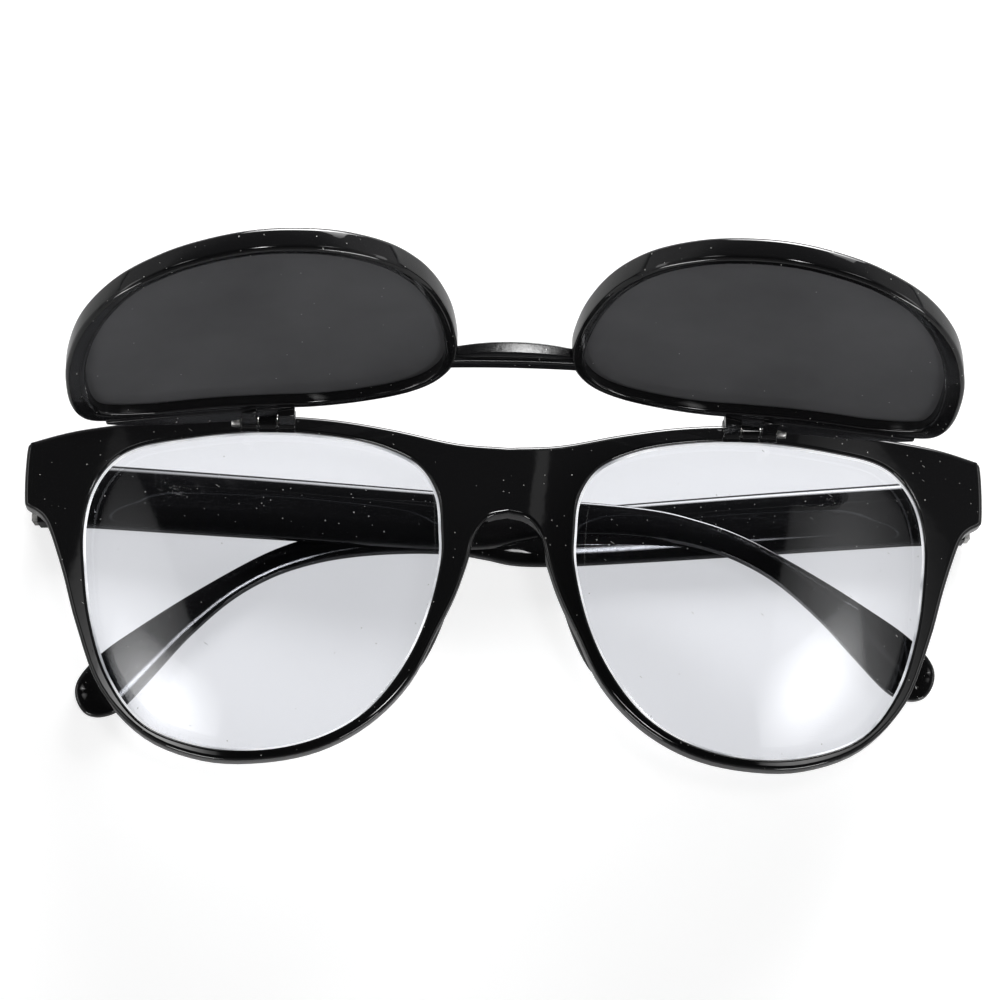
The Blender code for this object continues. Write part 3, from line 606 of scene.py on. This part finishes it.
def ramp(tree, value, stops):
    """A colour that follows the value through stops of position and colour."""
    made = node(tree, "ShaderNodeValToRGB", {0: value})
    elements = made.color_ramp.elements
    while len(elements) < len(stops):
        elements.new(0.5)
    for element, (position, colour) in zip(elements, stops):
        element.position = position
        element.color = colour
    return made.outputs[0]


def marked_colour(tree, marks, plain, dusty):
    return node(tree, "ShaderNodeMix", {0: marks, 6: plain, 7: dusty}, data_type="RGBA").outputs[2]


def bump(tree, height, strength, distance):
    inputs = {"Height": height, "Strength": strength, "Distance": distance}
    return node(tree, "ShaderNodeBump", inputs).outputs[0]


def shader_mix(tree, share, first, second):
    return node(tree, "ShaderNodeMixShader", {0: share, 1: first, 2: second}).outputs[0]


def cell_dots(tree, place, scale, radius, share):
    """Dots in a share of the cells of a cell pattern. The radius is in cells."""
    cells = node(tree, "ShaderNodeTexVoronoi", {"Vector": place, "Scale": scale})
    near = math_node(tree, "LESS_THAN", cells.outputs["Distance"], radius)
    split = node(tree, "ShaderNodeSeparateColor", {0: cells.outputs["Color"]})
    chosen = math_node(tree, "LESS_THAN", split.outputs[0], share)
    return math_node(tree, "MULTIPLY", near, chosen)


def dust_mask(tree, scale, radius, share):
    """Specks of dust. The scale is in cells per metre."""
    return cell_dots(tree, object_place(tree), scale, radius, share)


def scratch_mask(tree, angle, share):
    """Short straight scratches in one direction: dots of a cell pattern that is stretched along them."""
    rotation = (0.3, 0.2, math.radians(angle))
    turned = node(tree, "ShaderNodeMapping", {"Vector": object_place(tree), "Rotation": rotation})
    stretched = node(tree, "ShaderNodeMapping", {"Vector": turned.outputs[0], "Scale": SCRATCH_CELLS})
    return cell_dots(tree, stretched.outputs[0], 1.0, SCRATCH_RADIUS, share)


def black_plastic():
    """Glossy moulded black with dust, hairline scratches and a faint orange peel."""
    material, tree, shader = new_material("glossy_black_plastic")
    dust = dust_mask(tree, scale=420, radius=0.055, share=0.4)
    fine_dust = dust_mask(tree, scale=950, radius=0.085, share=0.4)
    scratches = scratch_mask(tree, angle=35, share=0.12)
    marks = math_node(tree, "MAXIMUM", math_node(tree, "MAXIMUM", dust, fine_dust), scratches)
    patches = ranged(tree, noise(tree, 110), 0.0, 1.0, start=0.35, end=0.65)
    polish = ranged(tree, noise(tree, 60, detail=6), 0.02, 0.06)
    dusty = math_node(tree, "MULTIPLY", marks, patches)
    feed(tree, shader, {
        "IOR": 1.56,
        "Base Color": marked_colour(tree, dusty, (0.0065, 0.0065, 0.0069, 1), (0.40, 0.40, 0.38, 1)),
        "Roughness": math_node(tree, "MAXIMUM", polish, math_node(tree, "MULTIPLY", marks, 0.8)),
        "Normal": bump(tree, noise(tree, 260), strength=0.02, distance=0.0003),
    })
    return material


def satin_plastic():
    """Moulded black with the fine grain of an unpolished tool, for the web and the bar of the shade."""
    material, tree, shader = new_material("satin_black_plastic")
    grain = noise(tree, 1800, detail=3)
    dust = dust_mask(tree, scale=850, radius=0.09, share=0.25)
    feed(tree, shader, {
        "Base Color": marked_colour(tree, dust, (0.010, 0.010, 0.011, 1), (0.35, 0.35, 0.34, 1)),
        "Roughness": ranged(tree, grain, 0.1, 0.2),
        "Normal": bump(tree, grain, strength=0.15, distance=0.00005),
    })
    return material


def lens_glass(name, tint, dust_colour, gloss_share=1.0, haze=0.0):
    """Thin tinted glass: it lets light straight through, mirrors a little at each face, and may be hazy."""
    material, tree, shader = new_material(name)
    tree.nodes.remove(shader)
    wipe = noise(tree, 35, detail=5)
    through = node(tree, "ShaderNodeBsdfTransparent", {0: tint})
    shine = {"Color": (1, 1, 1, 1), "Roughness": ranged(tree, wipe, 0.02, 0.05)}
    gloss = node(tree, "ShaderNodeBsdfAnisotropic", shine)
    fresnel = node(tree, "ShaderNodeFresnel", {"IOR": 1.5})
    mirror = math_node(tree, "MULTIPLY", fresnel.outputs[0], gloss_share)
    surface = shader_mix(tree, mirror, through.outputs[0], gloss.outputs[0])
    if haze:
        cloud = node(tree, "ShaderNodeBsdfDiffuse", {0: (haze, haze, haze * 1.04, 1)})
        surface = shader_mix(tree, ranged(tree, wipe, 0.25, 0.75), surface, cloud.outputs[0])
    dust = dust_mask(tree, scale=500, radius=0.05, share=0.25)
    marks = math_node(tree, "MAXIMUM", dust, scratch_mask(tree, angle=40, share=0.03))
    speck = node(tree, "ShaderNodeBsdfDiffuse", {0: dust_colour})
    surface = shader_mix(tree, math_node(tree, "MULTIPLY", marks, 0.5), surface, speck.outputs[0])
    feed(tree, tree.nodes["Material Output"], {0: surface})
    return material


def painted_edge_highlight():
    """Painted highlight on the rim of a clear lens: it glows by its own emission, in place of the light the
    glass gathers from the table.
    """
    material, tree, shader = new_material("painted_lens_edge_highlight")
    stops = ((0.35, (0.30, 0.31, 0.33, 1)), (0.6, (0.80, 0.81, 0.83, 1)))
    colour = ramp(tree, noise(tree, 90, detail=3), stops)
    feed(tree, shader, {
        "Base Color": colour,
        "Emission Color": colour,
        "Emission Strength": 0.8,
        "Roughness": 0.08,
    })
    return material


def steel():
    """Nickel-plated steel with a fine grain."""
    material, tree, shader = new_material("nickel_plated_steel")
    grain = noise(tree, 1500, detail=4)
    stops = ((0.3, (0.55, 0.54, 0.52, 1)), (0.6, (0.86, 0.85, 0.83, 1)))
    feed(tree, shader, {
        "Metallic": 1.0,
        "Base Color": ramp(tree, grain, stops),
        "Roughness": ranged(tree, grain, 0.2, 0.45),
        "Normal": bump(tree, grain, strength=0.1, distance=0.00005),
    })
    return material


def white_table():
    """White to the camera and through the lenses, with the soft shadow of the glasses kept.

    Reflections see it without its glow, as glossy black in a photo mirrors a table that is darker than the
    backdrop.
    """
    material, tree, shader = new_material("white_table")
    feed(tree, shader, {"Base Color": (0.95, 0.955, 0.965, 1), "Roughness": 0.6, "Specular IOR Level": 0.1})
    rays = node(tree, "ShaderNodeLightPath").outputs
    unmirrored = math_node(tree, "SUBTRACT", 1.0, rays["Is Glossy Ray"])
    strength = math_node(tree, "MULTIPLY", unmirrored, TABLE_GLOW)
    glow = node(tree, "ShaderNodeEmission", {0: (1, 1, 1, 1), 1: strength})
    grey = node(tree, "ShaderNodeBsdfDiffuse", {0: (0.5, 0.5, 0.5, 1)})
    bright = node(tree, "ShaderNodeAddShader", {0: grey.outputs[0], 1: glow.outputs[0]})
    seen = math_node(tree, "MAXIMUM", rays["Is Camera Ray"], rays["Is Glossy Ray"])
    seen = math_node(tree, "MAXIMUM", seen, rays["Is Transmission Ray"])
    surface = shader_mix(tree, seen, shader.outputs[0], bright.outputs[0])
    feed(tree, tree.nodes["Material Output"], {0: surface})
    return material


# Front

def make_front(black):
    openings = [lens_opening(side) for side, _ in SIDES]
    groove = (
        CLEAR_LENS_LAP + GROOVE_CLEARANCE,
        -CLEAR_LENS_SETBACK + GROOVE_CLEARANCE,
        -CLEAR_LENS_SETBACK - CLEAR_LENS_THICKNESS - GROOVE_CLEARANCE,
    )
    shell = plate(
        front_outline(), openings, 0.0, -FRONT_THICKNESS, FRONT_EDGE_ROUND, FRONT_OPENING_ROUND, groove,
        crown=FRONT_CROWN, flare=FRONT_BACK_FLARE,
    )
    slice_across(shell, HINGE_X + TEMPLE_BUTT, FRONT_SLICE)
    bend(shell, (0.0, -FRONT_THICKNESS))
    piece("front_shell", shell, FRONT_PLACE, black, "black_plastic", "front", "front_frame")
    for side, word in SIDES:
        piece(f"front_lug_{word}", lug(side), FRONT_PLACE, black, "black_plastic", "front")
        piece(f"nose_pad_{word}", nose_pad(side), FRONT_PLACE, black, "black_plastic", "front")
        piece(f"shade_knuckle_{word}", knuckle(side), FRONT_PLACE, black, "black_plastic", "front")


def lug(side):
    outline = on_side(smooth(LUG_OUTLINE, closed=True, steps=4), side)
    return plate(outline, [], LUG_FRONT_Z, HINGE_Z + LUG_BACK, LUG_EDGE_ROUND)


def nose_pad(side):
    """A long rounded pad that leans outward toward its lower end."""
    bm = bmesh.new()
    bmesh.ops.create_uvsphere(bm, u_segments=32, v_segments=24, radius=1.0)
    bmesh.ops.scale(bm, vec=NOSE_PAD_RADII, verts=bm.verts)
    across, up, forward = NOSE_PAD_PLACE
    for vert in bm.verts:
        vert.co.x += across - NOSE_PAD_LEAN * vert.co.y
        vert.co.x *= side
        vert.co.y += up
        vert.co.z += forward
    return bm


def knuckle(side):
    """The barrel between two blocks of the shade, on an arm and a foot that grow out of the brow."""
    low, high = sorted((KNUCKLE_INNER_X * side, KNUCKLE_OUTER_X * side))
    arm_top = SHADE_HINGE_Y + SHADE_BARREL_RADIUS - HINGE_EDGE_ROUND
    arm = box(
        (low + HINGE_ARM_INSET, *KNUCKLE_ARM_LOW_YZ), (high - HINGE_ARM_INSET, arm_top, SHADE_HINGE_Z),
        HINGE_EDGE_ROUND,
    )
    foot = box(
        (low - KNUCKLE_FOOT_SPREAD, *KNUCKLE_FOOT_LOW_YZ),
        (high + KNUCKLE_FOOT_SPREAD, *KNUCKLE_FOOT_HIGH_YZ),
        KNUCKLE_FOOT_ROUND,
    )
    return boolean(hinge_rod(SHADE_BARREL_RADIUS, low, high, HINGE_EDGE_ROUND), [arm, foot], "UNION")


def hinge_rod(radius, start_x, end_x, rounding=0.0):
    """A cylinder on the axis of the shade's hinges."""
    start = (start_x, SHADE_HINGE_Y, SHADE_HINGE_Z)
    end = (end_x, SHADE_HINGE_Y, SHADE_HINGE_Z)
    return rod(radius, start, end, rounding)


def lens_shape(outline, centre, top, thickness, bulge, rings=14):
    """A lens whose faces bulge toward the middle, with a bevel round its front and a fine chamfer."""
    bm = bmesh.new()

    def loop(share, level, inset):
        points = []
        for x, y in widened(outline, -inset):
            x = centre[0] + (x - centre[0]) * share
            y = centre[1] + (y - centre[1]) * share
            points.append(bm.verts.new((x, y, level + bulge * (1 - share * share) - wrap(x))))
        return points

    shares = [i / rings for i in range(1, rings + 1)]
    upper = [loop(share, top, LENS_BEVEL_WIDTH) for share in shares]
    lower = [loop(share, top - thickness, LENS_CHAMFER) for share in reversed(shares)]
    edge = [
        loop(1.0, top - LENS_BEVEL_DEPTH, LENS_CHAMFER),
        loop(1.0, top - LENS_BEVEL_DEPTH - LENS_CHAMFER, 0),
        loop(1.0, top - thickness + LENS_CHAMFER, 0),
    ]
    join_loops(bm, upper + edge + lower)
    for inner, level in ((upper[0], top), (lower[-1], top - thickness)):
        middle = bm.verts.new((centre[0], centre[1], level + bulge - wrap(centre[0])))
        for i in range(len(inner)):
            bm.faces.new((inner[i - 1], inner[i], middle))
    return bm


def lens_highlight_strip(outline, level):
    """A thin strip just inside a lens opening, which carries the painted highlight of the lens edge."""
    bm = bmesh.new()
    half = LENS_EDGE_WIDTH / 2
    profile = [
        (LENS_EDGE_LAP, level), (-half, level + LENS_EDGE_RISE), (-LENS_EDGE_WIDTH, level),
        (-half, level - LENS_EDGE_FALL),
    ]
    loops = []
    for distance, height in profile:
        loops.append([bm.verts.new((x, y, height - wrap(x))) for x, y in widened(outline, distance)])
    join_loops(bm, loops + loops[:1])
    return bm


def make_clear_lenses(glass, edge):
    for side, word in SIDES:
        outline = widened(lens_opening(side), CLEAR_LENS_LAP)
        centre = (CLEAR_LENS_CENTRE[0] * side, CLEAR_LENS_CENTRE[1])
        lens = lens_shape(outline, centre, -CLEAR_LENS_SETBACK, CLEAR_LENS_THICKNESS, CLEAR_LENS_BULGE)
        piece(
            f"clear_lens_glass_{word}", lens, FRONT_PLACE, glass, "clear_lens", "front", f"clear_lens_{word}"
        )
        # A glowing strip in the opening, in the edge material, paints the highlight along the lens edge.
        line = lens_highlight_strip(lens_opening(side), -CLEAR_LENS_SETBACK - LENS_EDGE_SINK)
        piece(f"clear_lens_painted_highlight_{word}", line, FRONT_PLACE, edge, "clear_lens", "front")


# Shade

def make_shade(black, satin, dark, metal):
    back = SHADE_STANDOFF
    face = SHADE_STANDOFF + SHADE_DEPTH
    lens_low = back + DARK_LENS_RECESS
    lens_high = lens_low + DARK_LENS_THICKNESS
    groove = (DARK_LENS_LAP + GROOVE_CLEARANCE, lens_high + GROOVE_CLEARANCE, lens_low - GROOVE_CLEARANCE)
    for side, word in SIDES:
        opening = shade_opening(side)
        ring = plate(
            shade_outline(side), [opening], face, back, SHADE_EDGE_ROUND, SHADE_OPENING_ROUND, groove,
            line_depth=RIM_LINE_DEPTH,
        )
        slice_across(ring, HINGE_X, FRONT_SLICE)
        bend(ring, (face, back))
        nodes = ["shade_frame"] if side == 1 else []
        piece(f"shade_ring_{word}", ring, SHADE_PLACE, black, "black_plastic", "shade", *nodes)
        centre = (DARK_LENS_CENTRE[0] * side, DARK_LENS_CENTRE[1])
        outline = widened(opening, DARK_LENS_LAP)
        lens = lens_shape(outline, centre, lens_high, DARK_LENS_THICKNESS, DARK_LENS_BULGE)
        piece(f"dark_lens_glass_{word}", lens, SHADE_PLACE, dark, "dark_lens", "shade", f"dark_lens_{word}")
        piece(f"shade_web_{word}", shade_web(side), SHADE_PLACE, satin, "black_plastic", "shade")
        piece(f"shade_blocks_{word}", shade_blocks(side), SHADE_PLACE, black, "black_plastic", "shade")
        piece(
            f"shade_pin_{word}", shade_pin(side), SHADE_PLACE, metal, "hinge_steel", "shade",
            f"shade_hinge_pin_{word}",
        )
    piece("shade_bar", shade_bar(), SHADE_PLACE, satin, "black_plastic", "shade")


def shade_web(side):
    """The flat web along the top of a ring, from the hinge blocks outward."""
    outline = on_side(smooth(SHADE_WEB, closed=True, steps=1), side)
    high = SHADE_STANDOFF + SHADE_WEB_DEPTH
    web = plate(outline, [], high, SHADE_STANDOFF - SHADE_WEB_SINK, SHADE_WEB_ROUND)
    slice_across(web, HINGE_X, FRONT_SLICE)
    bend(web)
    return web


def shade_bar():
    """The slim bar over the bridge: an arched upper face, deepest at its middle, over a ledge at the back."""
    half = SHADE_BAR_HALF_SPAN
    low = SHADE_BAR_Y - SHADE_BAR_HEIGHT / 2
    high = SHADE_BAR_Y + SHADE_BAR_HEIGHT / 2
    upper = box((-half, low, SHADE_BAR_STEP_Z), (half, high, SHADE_BAR_FRONT_Z), SHADE_BAR_ROUND, segments=5)
    slice_across(upper, half, SHADE_BAR_SLICE)
    for vert in upper.verts:
        along = vert.co.x / half
        top_share = (high - vert.co.y) / (high - low)
        lean = (vert.co.z - SHADE_BAR_STEP_Z) * SHADE_BAR_LEAN
        vert.co.y += top_share * (SHADE_BAR_SINK - lean + SHADE_BAR_ARCH * (along * along - 0.5))
        thinner = 1.0 - SHADE_BAR_THINNING * along * along
        vert.co.z = SHADE_BAR_STEP_Z + (vert.co.z - SHADE_BAR_STEP_Z) * thinner
    ledge = box(
        (-half, low + SHADE_BAR_STEP, SHADE_BAR_BACK_Z), (half, high, SHADE_BAR_STEP_Z + SHADE_BAR_OVERLAP),
        SHADE_BAR_ROUND, segments=5,
    )
    slice_across(ledge, half, SHADE_BAR_SLICE)
    bar = merged([upper, ledge])
    bend(bar)
    return bar


def shade_blocks(side):
    """The two blocks of a hinge, a barrel with an arm each, on both sides of the knuckle."""
    spans = (
        (SHADE_BLOCK_INNER_X, KNUCKLE_INNER_X - KNUCKLE_SIDE_GAP, SHADE_BLOCK_INNER_FOOT),
        (KNUCKLE_OUTER_X + KNUCKLE_SIDE_GAP, SHADE_BLOCK_OUTER_X, SHADE_BLOCK_OUTER_FOOT),
    )
    front_z = SHADE_HINGE_Z + SHADE_BARREL_RADIUS - HINGE_EDGE_ROUND
    shapes = []
    for near, far, foot in spans:
        low, high = sorted((near * side, far * side))
        arm = box(
            (low + HINGE_ARM_INSET, SHADE_HINGE_Y - foot, SHADE_HINGE_Z - SHADE_BLOCK_BACK),
            (high - HINGE_ARM_INSET, SHADE_HINGE_Y + SHADE_BLOCK_TOP, front_z),
            HINGE_EDGE_ROUND,
        )
        shapes.append(boolean(hinge_rod(SHADE_BARREL_RADIUS, low, high, HINGE_EDGE_ROUND), [arm], "UNION"))
    return merged(shapes)


def shade_pin(side):
    """The steel pin of a hinge, with its head at the outer end."""
    inner = (SHADE_BLOCK_INNER_X + SHADE_PIN_INSET) * side
    head = (SHADE_BLOCK_OUTER_X + SHADE_PIN_HEAD_GAP) * side
    end = head + SHADE_PIN_HEAD_LENGTH * side
    return merged([
        hinge_rod(SHADE_PIN_RADIUS, inner, head),
        hinge_rod(SHADE_PIN_HEAD_RADIUS, head, end, HINGE_EDGE_ROUND),
    ])


# Temples

def temple_level(x, z):
    """Where a point of the full thickness comes to lie: the inner face falls away toward the tip."""
    distance = -x
    if distance < 0:
        return z * (1 + TEMPLE_BUTT_DRAFT * distance / TEMPLE_THICKNESS)
    share = min(distance / TEMPLE_TAPER_LENGTH, 1.0)
    thickness = TEMPLE_THICKNESS + (TEMPLE_END_THICKNESS - TEMPLE_THICKNESS) * share
    return -TEMPLE_THICKNESS + (z + TEMPLE_THICKNESS) * thickness / TEMPLE_THICKNESS


def temple_rounding(outline):
    """The share of the full rounding at each point: little at the butt, and never past half the width."""
    full = TEMPLE_EDGE_ROUND * TEMPLE_CROWN
    shares = []
    for (x, _), half in zip(outline, half_widths(outline)):
        at_butt = max(BUTT_ROUND_SHARE, (BUTT_ROUND_END - x) / BUTT_ROUND_RUN)
        shares.append(min(1.0, at_butt, TEMPLE_ROUND_SHARE * half / full))
    return shares


def temple_shape():
    """A temple with its inner face up, its hinge at 0 and its tip at -x, notched for barrel and neck."""
    outline = [(-x, y) for x, y in temple_outline()]
    scales = temple_rounding(outline)
    bar = plate(outline, [], 0.0, -TEMPLE_THICKNESS, TEMPLE_EDGE_ROUND, scales=scales, crown=TEMPLE_CROWN)
    for vert in bar.verts:
        vert.co.z = temple_level(vert.co.x, vert.co.z)
    neck = NECK_HALF_HEIGHT + LEAF_CLEARANCE
    floor = -NECK_NOTCH_DEPTH - LEAF_CLEARANCE
    cuts = [
        rod(BARREL_NOTCH_RADIUS, (0, -BARREL_NOTCH_REACH, 0), (0, BARREL_NOTCH_REACH, 0)),
        box((NECK_NOTCH_X, -neck, floor), (TEMPLE_BUTT, neck, 1), 0),
    ]
    return boolean(bar, cuts, "DIFFERENCE")


def make_temple(side, word, lift, black):
    place = (
        Matrix.Translation((HINGE_X * side, HINGE_Y - REST_FACE_Y, HINGE_Z + BRIDGE_HEIGHT))
        @ Matrix.Rotation(math.radians(HINGE_LEAN_DEG), 4, "Z")
        @ Matrix.Rotation(math.radians(lift), 4, "Y")
        @ Matrix.Diagonal((side, 1, 1, 1))
    )
    arm = temple_shape()
    piece(f"temple_arm_{word}", arm, place, black, "black_plastic", f"{word}_temple", f"temple_{word}")


# Camera, table and light

def make_camera():
    """The camera that was fitted to the photo: off straight down, and a little turned and rolled."""
    tilt, turn, roll = (math.radians(a) for a in (CAMERA_TILT_DEG, CAMERA_TURN_DEG, CAMERA_ROLL_DEG))
    back = Vector((-math.sin(turn) * math.cos(tilt), -math.sin(tilt), math.cos(tilt) * math.cos(turn)))
    back.normalize()
    level = Vector((0, 1, 0)).cross(back).normalized()
    upright = back.cross(level)
    right = level * math.cos(roll) + upright * math.sin(roll)
    up = upright * math.cos(roll) - level * math.sin(roll)
    place = (CAMERA_AIM + back * CAMERA_DISTANCE) * MM
    data = bpy.data.cameras.new("camera")
    data.sensor_width = SENSOR
    data.lens = PIXELS_PER_MM * CAMERA_DISTANCE * SENSOR / PICTURE
    data.clip_start = 0.01
    data.clip_end = 20
    camera = bpy.data.objects.new("camera", data)
    camera.matrix_world = Matrix((
        (right.x, up.x, back.x, place.x),
        (right.y, up.y, back.y, place.y),
        (right.z, up.z, back.z, place.z),
        (0, 0, 0, 1),
    ))
    bpy.context.scene.collection.objects.link(camera)
    bpy.context.scene.camera = camera


def make_table():
    """The table, a hair below the glasses, so that their lowest faces don't coincide with it."""
    bm = bmesh.new()
    bmesh.ops.create_grid(bm, x_segments=1, y_segments=1, size=TABLE_HALF_SIZE)
    mesh = bpy.data.meshes.new("table")
    bm.to_mesh(mesh)
    bm.free()
    mesh.materials.append(white_table())
    table = bpy.data.objects.new("table", mesh)
    table.location.z = -TABLE_DROP
    bpy.context.scene.collection.objects.link(table)


def make_world():
    """A pale band to the left and right under a dark sky, so that glossy black stays black from above."""
    world = bpy.data.worlds.new("studio")
    bpy.context.scene.world = world
    world.use_nodes = True
    tree = world.node_tree
    direction = node(tree, "ShaderNodeTexCoord").outputs["Generated"]
    split = node(tree, "ShaderNodeSeparateXYZ", {0: direction}).outputs
    stops = [(height, (grey, grey, grey * 1.01, 1)) for height, grey in SKY_STOPS]
    sideways = math_node(tree, "MULTIPLY", math_node(tree, "POWER", split[0], 2.0), SKY_SIDE_LIGHT)
    feed(tree, tree.nodes["Background"], {
        0: ramp(tree, split[2], stops),
        1: math_node(tree, "ADD", sideways, SKY_LIGHT),
    })


def lamp(name, place, target, size, radiance, turn=0.0, fading=False):
    """A flat lamp of a given brightness, turned about its axis. A fading lamp is brightest at its middle."""
    data = bpy.data.lights.new(name, "AREA")
    data.shape = "RECTANGLE"
    data.size, data.size_y = size
    data.energy = radiance * math.pi * (size[0] * size[1])
    if fading:
        data.use_nodes = True
        tree = data.node_tree
        spot = node(tree, "ShaderNodeNewGeometry").outputs["Parametric"]
        away = node(tree, "ShaderNodeVectorMath", {0: spot, 1: (0.5, 0.5, 0)}, operation="DISTANCE")
        spread = math_node(tree, "MULTIPLY", away.outputs["Value"], LAMP_FADE)
        falling = math_node(tree, "MULTIPLY", math_node(tree, "POWER", spread, 2.0), -1.0)
        feed(tree, tree.nodes["Emission"], {"Strength": math_node(tree, "EXPONENT", falling)})
    obj = bpy.data.objects.new(name, data)
    obj.location = place
    aim = (Vector(target) - Vector(place)).to_track_quat("-Z", "Y")
    obj.rotation_euler = (aim @ Quaternion((0, 0, 1), math.radians(turn))).to_euler()
    bpy.context.scene.collection.objects.link(obj)


def make_lamps():
    """The lamps, in metres. Left and right are those of the picture here."""
    at_left = (-0.05, -0.01, 0.02)
    at_right = (0.05, -0.01, 0.02)
    at_middle = (0, 0, 0.02)
    at_front = (0, 0, 0.03)
    lamp("left_softbox", (-0.400, 0.075, 0.627), at_left, (0.20, 0.16), 2.4, turn=60, fading=True)
    lamp("right_softbox", (0.418, 0.095, 0.627), at_right, (0.22, 0.18), 1.6, turn=-36, fading=True)
    lamp("left_flash", (-0.360, 0.087, 0.620), at_left, (0.045, 0.14), 5.0, fading=True)
    lamp("right_flash", (0.374, 0.099, 0.620), at_right, (0.045, 0.14), 5.0, fading=True)
    lamp("left_strip", (-0.95, 0.0, 0.45), at_middle, (0.7, 0.16), 1.6)
    lamp("right_strip", (0.95, 0.0, 0.45), at_middle, (0.7, 0.16), 1.6)
    lamp("front_left_strip", (-0.55, -0.85, 0.24), at_front, (0.35, 0.16), 12.0)
    lamp("front_right_strip", (0.55, -0.85, 0.24), at_front, (0.35, 0.16), 12.0)
    lamp("over_front", (0.055, -0.066, 0.65), (0.0, 0.0, 0.05), (0.09, 0.14), 36.0, fading=True)
    lamp("back_softbox", (0.22, 0.97, 0.37), at_middle, (0.95, 0.58), 34.0, fading=True)
    lamp("stripe_lamp", (0.0575, 0.16, 0.627), (0.005, 0.0, 0.027), (0.014, 0.22), 0.4)


def dress_metal_parts(metal):
    """The leaves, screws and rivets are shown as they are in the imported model, in plated steel."""
    for name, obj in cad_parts.items():
        if any(part in name for part in ("leaf", "screw", "rivet")):
            obj.data.materials.clear()
            obj.data.materials.append(metal)


def main():
    bpy.context.scene.view_settings.view_transform = "Standard"
    make_camera()
    make_table()
    make_world()
    make_lamps()
    black = black_plastic()
    clear = lens_glass("clear_lens_glass", (0.865, 0.872, 0.892, 1), (0.7, 0.7, 0.7, 1))
    dark = lens_glass(
        "dark_lens_glass", (0.13, 0.13, 0.134, 1), (0.4, 0.4, 0.4, 1), gloss_share=0.35, haze=0.15
    )
    metal = steel()
    make_front(black)
    make_clear_lenses(clear, painted_edge_highlight())
    make_shade(black, satin_plastic(), dark, metal)
    make_temple(1, "left", 0.0, black)
    make_temple(-1, "right", -RIGHT_TEMPLE_LIFT_DEG, black)
    dress_metal_parts(metal)


main()
